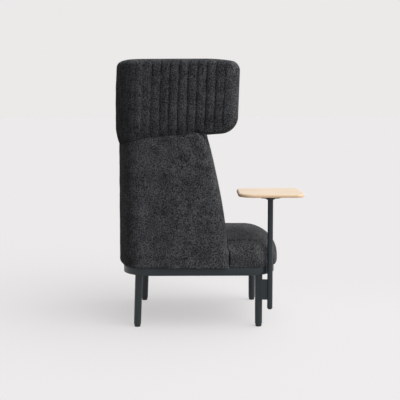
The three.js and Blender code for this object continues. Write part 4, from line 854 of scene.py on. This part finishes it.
def loop_pile_wool():
    """Woven wool cloth with a short looped pile, in two charcoals: matt, a trace of sheen at a
    glancing angle, small round loops, flecks of yarn and a slightly cloudy colour."""
    material, tree, spot = new_material("woven wool with looped pile, charcoal", "#46474A")
    # loops are 2.6 mm apart on the cloth and drawn at 3.2 mm, so that they show
    loops = add(tree, "TexVoronoi", {"Vector": spot}, {"Scale": cells(3.2), "Randomness": 0.9})
    fleck = add(
        tree, "TexNoise", {"Vector": spot},
        {"Scale": cells(5.4), "Detail": 3.0, "Roughness": 0.7},
    )
    cloud = add(tree, "TexNoise", {"Vector": spot}, {"Scale": cells(55.0), "Detail": 2.0})
    tone = add(tree, "MapRange", {"Value": fleck}, between(0.36, 0.64, 0.0, 1.0))
    yarn = add(tree, "Mix", {"Factor": tone}, two_colours("#0F1012", "#6C6D70"), data_type="RGBA")
    cloudy = add(tree, "MapRange", {"Value": cloud}, between(0.3, 0.7, 0.74, 1.26))
    # painted shade: a value per point, carried by the hood, darkens the cloth down to 42% in its
    # grooves and a little over its channelled part
    groove_shade = add(tree, "Attribute", attribute_name="groove_shade")
    shade = add(tree, "MapRange", {"Value": groove_shade.outputs["Fac"]}, between(0.0, 1.0, 1.0, 0.42))
    dark = add(tree, "Math", {0: cloudy, 1: shade}, operation="MULTIPLY")
    colour = add(tree, "VectorMath", {0: yarn.outputs[2], "Scale": dark}, operation="SCALE")
    height = add(tree, "Math", {0: loops}, {1: -1.0}, operation="MULTIPLY")
    rough = add(tree, "Math", {0: fleck, 2: height}, {1: 1.5}, operation="MULTIPLY_ADD")
    bump = add(tree, "Bump", {"Height": rough}, {"Strength": 0.55, "Distance": 1.1 * MILLIMETRE})
    surface = add(
        tree, "BsdfPrincipled", {"Base Color": colour, "Normal": bump},
        {"Roughness": 0.95, "Specular IOR Level": 0.0, "Sheen Weight": 0.1, "Sheen Roughness": 0.4},
    )
    add(tree, "OutputMaterial", {"Surface": surface})
    return material


def powder_coat(name, shown, low, high):
    """Mild steel with a baked polyester powder coat: satin, a fine orange-peel skin, and a
    slightly uneven gloss where hands and shoes rub it."""
    material, tree, spot = new_material(name, shown)
    # the skin's dimples are about 1.5 mm apart, and its rubbed patches 40 mm across
    peel = add(tree, "TexNoise", {"Vector": spot}, {"Scale": cells(1.5), "Detail": 2.0})
    wear = add(tree, "TexNoise", {"Vector": spot}, {"Scale": cells(40.0), "Detail": 4.0})
    gloss = add(tree, "MapRange", {"Value": wear}, between(0.3, 0.7, 0.36, 0.5))
    tone = add(tree, "Mix", {"Factor": wear}, two_colours(low, high), data_type="RGBA")
    bump = add(tree, "Bump", {"Height": peel}, {"Strength": 0.25, "Distance": 0.1 * MILLIMETRE})
    links = {"Base Color": tone.outputs[2], "Roughness": gloss, "Normal": bump}
    surface = add(tree, "BsdfPrincipled", links, {"IOR": 1.5})
    add(tree, "OutputMaterial", {"Surface": surface})
    return material


def zinc_plate():
    """Cold-formed steel with bright zinc plating: a metal, faintly blue, gloss a little uneven."""
    material, tree, spot = new_material("zinc-plated steel", "#B4B6B8")
    # its dull patches are about 5 mm across
    stain = add(tree, "TexNoise", {"Vector": spot}, {"Scale": cells(5.0), "Detail": 3.0})
    tone = add(tree, "Mix", {"Factor": stain}, two_colours("#A3A6AA", "#C4C6C6"), data_type="RGBA")
    gloss = add(tree, "MapRange", {"Value": stain}, between(0.0, 1.0, 0.25, 0.45))
    links = {"Base Color": tone.outputs[2], "Roughness": gloss}
    surface = add(tree, "BsdfPrincipled", links, {"Metallic": 1.0})
    add(tree, "OutputMaterial", {"Surface": surface})
    return material


def grained(name, shown, tones, size, detail, stretch, relief, plain):
    """A material whose grain runs between two tones and stands up a little: cells of that many
    millimetres, drawn out by a stretch, with a relief's strength and height in millimetres."""
    material, tree, spot = new_material(name, shown)
    drawn = add(tree, "Mapping", {"Vector": spot}, {"Scale": stretch})
    grain = add(tree, "TexNoise", {"Vector": drawn}, {"Scale": cells(size), "Detail": detail})
    tone = add(tree, "Mix", {"Factor": grain}, two_colours(*tones), data_type="RGBA")
    strength, high = relief[0], relief[1] * MILLIMETRE
    bump = add(tree, "Bump", {"Height": grain}, {"Strength": strength, "Distance": high})
    links = {"Base Color": tone.outputs[2], "Normal": bump}
    surface = add(tree, "BsdfPrincipled", links, plain)
    add(tree, "OutputMaterial", {"Surface": surface})
    return material


def moulded_nylon(name, shown, *tones):
    """Nylon, injection moulded: matt, with a fine spark-eroded grain, drawn at 0.8 mm so that
    it shows."""
    plain = {"Roughness": 0.55, "IOR": 1.53}
    return grained(name, shown, tones, 0.8, 2.0, (1.0, 1.0, 1.0), (0.3, 0.08), plain)


def birch_plywood(name, shown, *tones):
    """Birch plywood, raw or made near black as painted shade: matt faces with long grain between
    two close tones, in lines about 4 mm apart."""
    return grained(name, shown, tones, 4.0, 5.0, (1.0, 0.06, 1.0), (0.2, 0.2), {"Roughness": 0.7})


def lacquered_ash():
    """Pale ash veneer on a board, with a clear matt lacquer: straight grain along the top's
    length in lines about 5 mm apart, and on the rounded edge and underside a light warm tone,
    partly the edge's own warmer wood and partly painted light for the light the edge catches."""
    material, tree, spot = new_material("ash veneer with matt lacquer", "#EBD6BE")
    drift = add(tree, "TexNoise", {"Vector": spot}, {"Scale": cells(120.0), "Detail": 2.0})
    bent = add(
        tree, "VectorMath", {0: drift.outputs["Color"], 2: spot}, {1: (0.02, 0.0, 0.0)},
        operation="MULTIPLY_ADD",
    )
    drawn = add(tree, "Mapping", {"Vector": bent}, {"Scale": (1.0, 0.035, 0.4)})
    lines = add(
        tree, "TexNoise", {"Vector": drawn},
        {"Scale": cells(5.0), "Detail": 6.0, "Roughness": 0.6},
    )
    level = add(tree, "MapRange", {"Value": lines}, between(0.35, 0.68, 0.0, 1.0))
    face = add(tree, "Mix", {"Factor": level}, two_colours("#EFDECA", "#DFC4A3"), data_type="RGBA")
    # painted light and the edge's own tone: where the normal turns from straight up, over the
    # rounded edge and the underside, the colour goes to a light warm tone that also stands in for
    # light the sideways edge catches
    way = add(tree, "SeparateXYZ", {0: add(tree, "NewGeometry").outputs["Normal"]})
    edge = add(tree, "MapRange", {"Value": way.outputs["Z"]}, between(0.9, 0.3, 0.0, 1.0))
    tone = add(
        tree, "Mix", {"Factor": edge, 6: face.outputs[2]},
        {7: linear("#FFDAB2")}, data_type="RGBA",
    )
    bump = add(tree, "Bump", {"Height": lines}, {"Strength": 0.12, "Distance": 0.15 * MILLIMETRE})
    links = {"Base Color": tone.outputs[2], "Normal": bump}
    surface = add(tree, "BsdfPrincipled", links, {"Roughness": 0.48, "IOR": 1.5})
    add(tree, "OutputMaterial", {"Surface": surface})
    return material


# ---- Room, light and camera ----


def seen_directly(tree):
    """1 for what the camera, a mirror or glass sees, and 0 for light that falls on things."""
    path = add(tree, "LightPath")
    first = add(
        tree, "Math",
        {0: path.outputs["Is Camera Ray"], 1: path.outputs["Is Glossy Ray"]}, operation="MAXIMUM",
    )
    return add(
        tree, "Math",
        {0: first, 1: path.outputs["Is Transmission Ray"]}, operation="MAXIMUM",
    )


def studio_floor():
    """A pale floor that keeps the chair's shadow: seen directly it is 36% lit paint and 64%
    an even glow, and what it throws back on the chair is a darker grey."""
    mesh = bpy.data.meshes.new("studio_floor")
    far = 40.0  # metres
    corners = [(-far, -far, 0), (far, -far, 0), (far, far, 0), (-far, far, 0)]
    mesh.from_pydata(corners, [], [(0, 1, 2, 3)])
    floor = placed("studio_floor", mesh)
    paint = "#EDEBEB"
    material, tree, spot = new_material("painted studio floor", paint)
    seen = seen_directly(tree)
    tone = add(tree, "Mix", {"Factor": seen}, two_colours("#757474", paint), data_type="RGBA")
    matt = add(tree, "BsdfDiffuse", {"Color": tone.outputs[2]})
    # behind the chair, and far from it, the floor turns as grey as the backdrop, so that no
    # horizon shows
    near_glow, far_glow = 0.957, 0.912
    place = add(tree, "SeparateXYZ", {0: spot})
    behind = add(
        tree, "MapRange", {"Value": place.outputs["X"]},
        between(-0.2, 0.9, near_glow, far_glow), interpolation_type="SMOOTHSTEP",
    )
    away = add(tree, "VectorMath", {0: spot}, operation="LENGTH")
    outward = add(
        tree, "MapRange", {"Value": away.outputs["Value"]},
        between(1.9, 4.5, near_glow, far_glow), interpolation_type="SMOOTHSTEP",
    )
    strength = add(tree, "Math", {0: behind, 1: outward}, operation="MINIMUM")
    glow = add(tree, "Emission", {"Strength": strength}, {"Color": linear(paint)})
    part = add(tree, "Math", {0: seen}, {1: 0.64}, operation="MULTIPLY")
    both = add(tree, "MixShader", {0: part, 1: matt, 2: glow})
    add(tree, "OutputMaterial", {"Surface": both})
    mesh.materials.append(material)


def studio_light():
    """An even pale backdrop, and soft daylight: a sky that is brightest overhead and toward
    the chair's front, and a wide sun from the front, above and a little the camera's side."""
    world = bpy.data.worlds.new("studio")
    bpy.context.scene.world = world
    world.use_nodes = True
    sky = world.node_tree
    sky.nodes.clear()
    backdrop = add(sky, "Background", None, {"Color": linear("#ECE9E9"), "Strength": 1.0})
    toward = add(sky, "SeparateXYZ", {0: add(sky, "TexCoord").outputs["Generated"]})
    from_front = add(
        sky, "MapRange", {"Value": toward.outputs["Y"]},
        between(-0.65, 0.65, 0.87, 0.05), interpolation_type="SMOOTHSTEP",
    )
    overhead = add(sky, "MapRange", {"Value": toward.outputs["Z"]}, between(0.0, 1.0, 0.5, 2.2))
    strength = add(sky, "Math", {0: from_front, 1: overhead}, operation="MULTIPLY")
    fill = add(sky, "Background", {"Strength": strength}, {"Color": linear("#FFFFFF")})
    mixed = add(sky, "MixShader", {0: seen_directly(sky), 1: fill, 2: backdrop})
    add(sky, "OutputWorld", {"Surface": mixed})

    lamp = bpy.data.lights.new("window_light", "SUN")
    lamp.energy = 1.55
    lamp.angle = math.radians(60)
    light = placed("window_light", lamp)
    light.rotation_mode = "QUATERNION"
    light.rotation_quaternion = Vector((0.27, 0.57, -0.78)).to_track_quat("-Z", "Y")


def photo_camera():
    """The camera 4.2 m to the chair's right, 1.07 m high, level across but for 0.18 degrees,
    looking down by 6.87 degrees through a 77 mm lens."""
    pitch, roll = math.radians(6.870), math.radians(-0.1755)
    forward = Vector((math.cos(pitch), 0, -math.sin(pitch)))
    right = Vector((0, -1, 0))
    up = right.cross(forward)
    turned_right = right * math.cos(roll) + up * math.sin(roll)
    turned_up = up * math.cos(roll) - right * math.sin(roll)
    spot = Vector((-4180.5, -6.472, 1067.83)) * MILLIMETRE + Vector(MIDDLE)
    focal_pixels, photo_pixels = 854.9, 400
    lens = bpy.data.cameras.new("photo_camera")
    lens.sensor_width = 36.0
    lens.lens = focal_pixels / photo_pixels * lens.sensor_width
    lens.clip_start, lens.clip_end = 0.1, 120.0
    camera = placed("photo_camera", lens)
    turn = Matrix((turned_right, turned_up, -forward)).transposed()
    camera.matrix_world = Matrix.Translation(spot) @ turn.to_4x4()
    bpy.context.scene.camera = camera


# ---- Dressing ----

photo_camera()
studio_floor()
studio_light()
bpy.context.scene.view_settings.view_transform = "Standard"

CLOTH = loop_pile_wool()
STEEL = powder_coat("powder-coated mild steel, blue grey", "#3B4146", "#1D262A", "#253036")
# painted shade: the swivel disc under the table top gets a near-black coat that stands in for the
# top's shadow on it
SHADED_DISC_STEEL = powder_coat("powder-coated mild steel, darkened as painted shade", "#1A1B1D", "#0B0C0E", "#101214")
NYLON = moulded_nylon("injection-moulded nylon, black", "#1C1D1F", "#17181A", "#242527")
ZINC = zinc_plate()
PLYWOOD = birch_plywood("birch plywood, raw", "#C9A877", "#B98F5C", "#DBC096")
# painted shade: the seat deck is made near black, so that what shows of it below the pads reads as
# the shade there
DARKENED_DECK_PLYWOOD = birch_plywood("birch plywood, darkened as painted shade", "#26262A", "#1C1C1F", "#2C2C30")
ASH = lacquered_ash()


def coat(piece, material):
    """Gives a piece one finish in place of what it had."""
    piece.data.materials.clear()
    piece.data.materials.append(material)


def dress(piece, material):
    """Gives a piece its finish."""
    coat(piece, material)


for soft, node, fill in (
    (outer_shell(), "shell_cover", 0.85),
    (sitter_back(), "back_pad", 0.8),
    (channelled_hood(), "hood_cover", 0.8),
    (inner_hood(), "hood_lining", 0.8),
    (seat_base(), "seat_base_pad", 0.85),
    (seat_waterfall(), "seat_top_pad", 0.75),
):
    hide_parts(node)
    dress(soft, CLOTH)

band = ring_band()
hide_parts("base_ring")
dress(band, STEEL)
for leg, glide in leg_pieces():
    dress(leg, STEEL)
    dress(glide, NYLON)
pole, dome, top = table_pieces()
dress(pole, STEEL)
dress(dome, NYLON)
dress(top, ASH)

# the solids that show as they are, by how their names start
FINISHES = {
    "cross_rail": STEEL, "bracket_plate": STEEL, "swivel_plate": SHADED_DISC_STEEL, "pole_bush": NYLON,
    "seat_deck": DARKENED_DECK_PLYWOOD, "shell_board": PLYWOOD, "hood_board": PLYWOOD, "leg_bolt": ZINC,
    "deck_bolt": ZINC, "board_screw": ZINC, "lap_screw": ZINC, "table_screw": ZINC,
}
for name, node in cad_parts.items():
    for start, material in FINISHES.items():
        if name.startswith(start):
            coat(node, material)
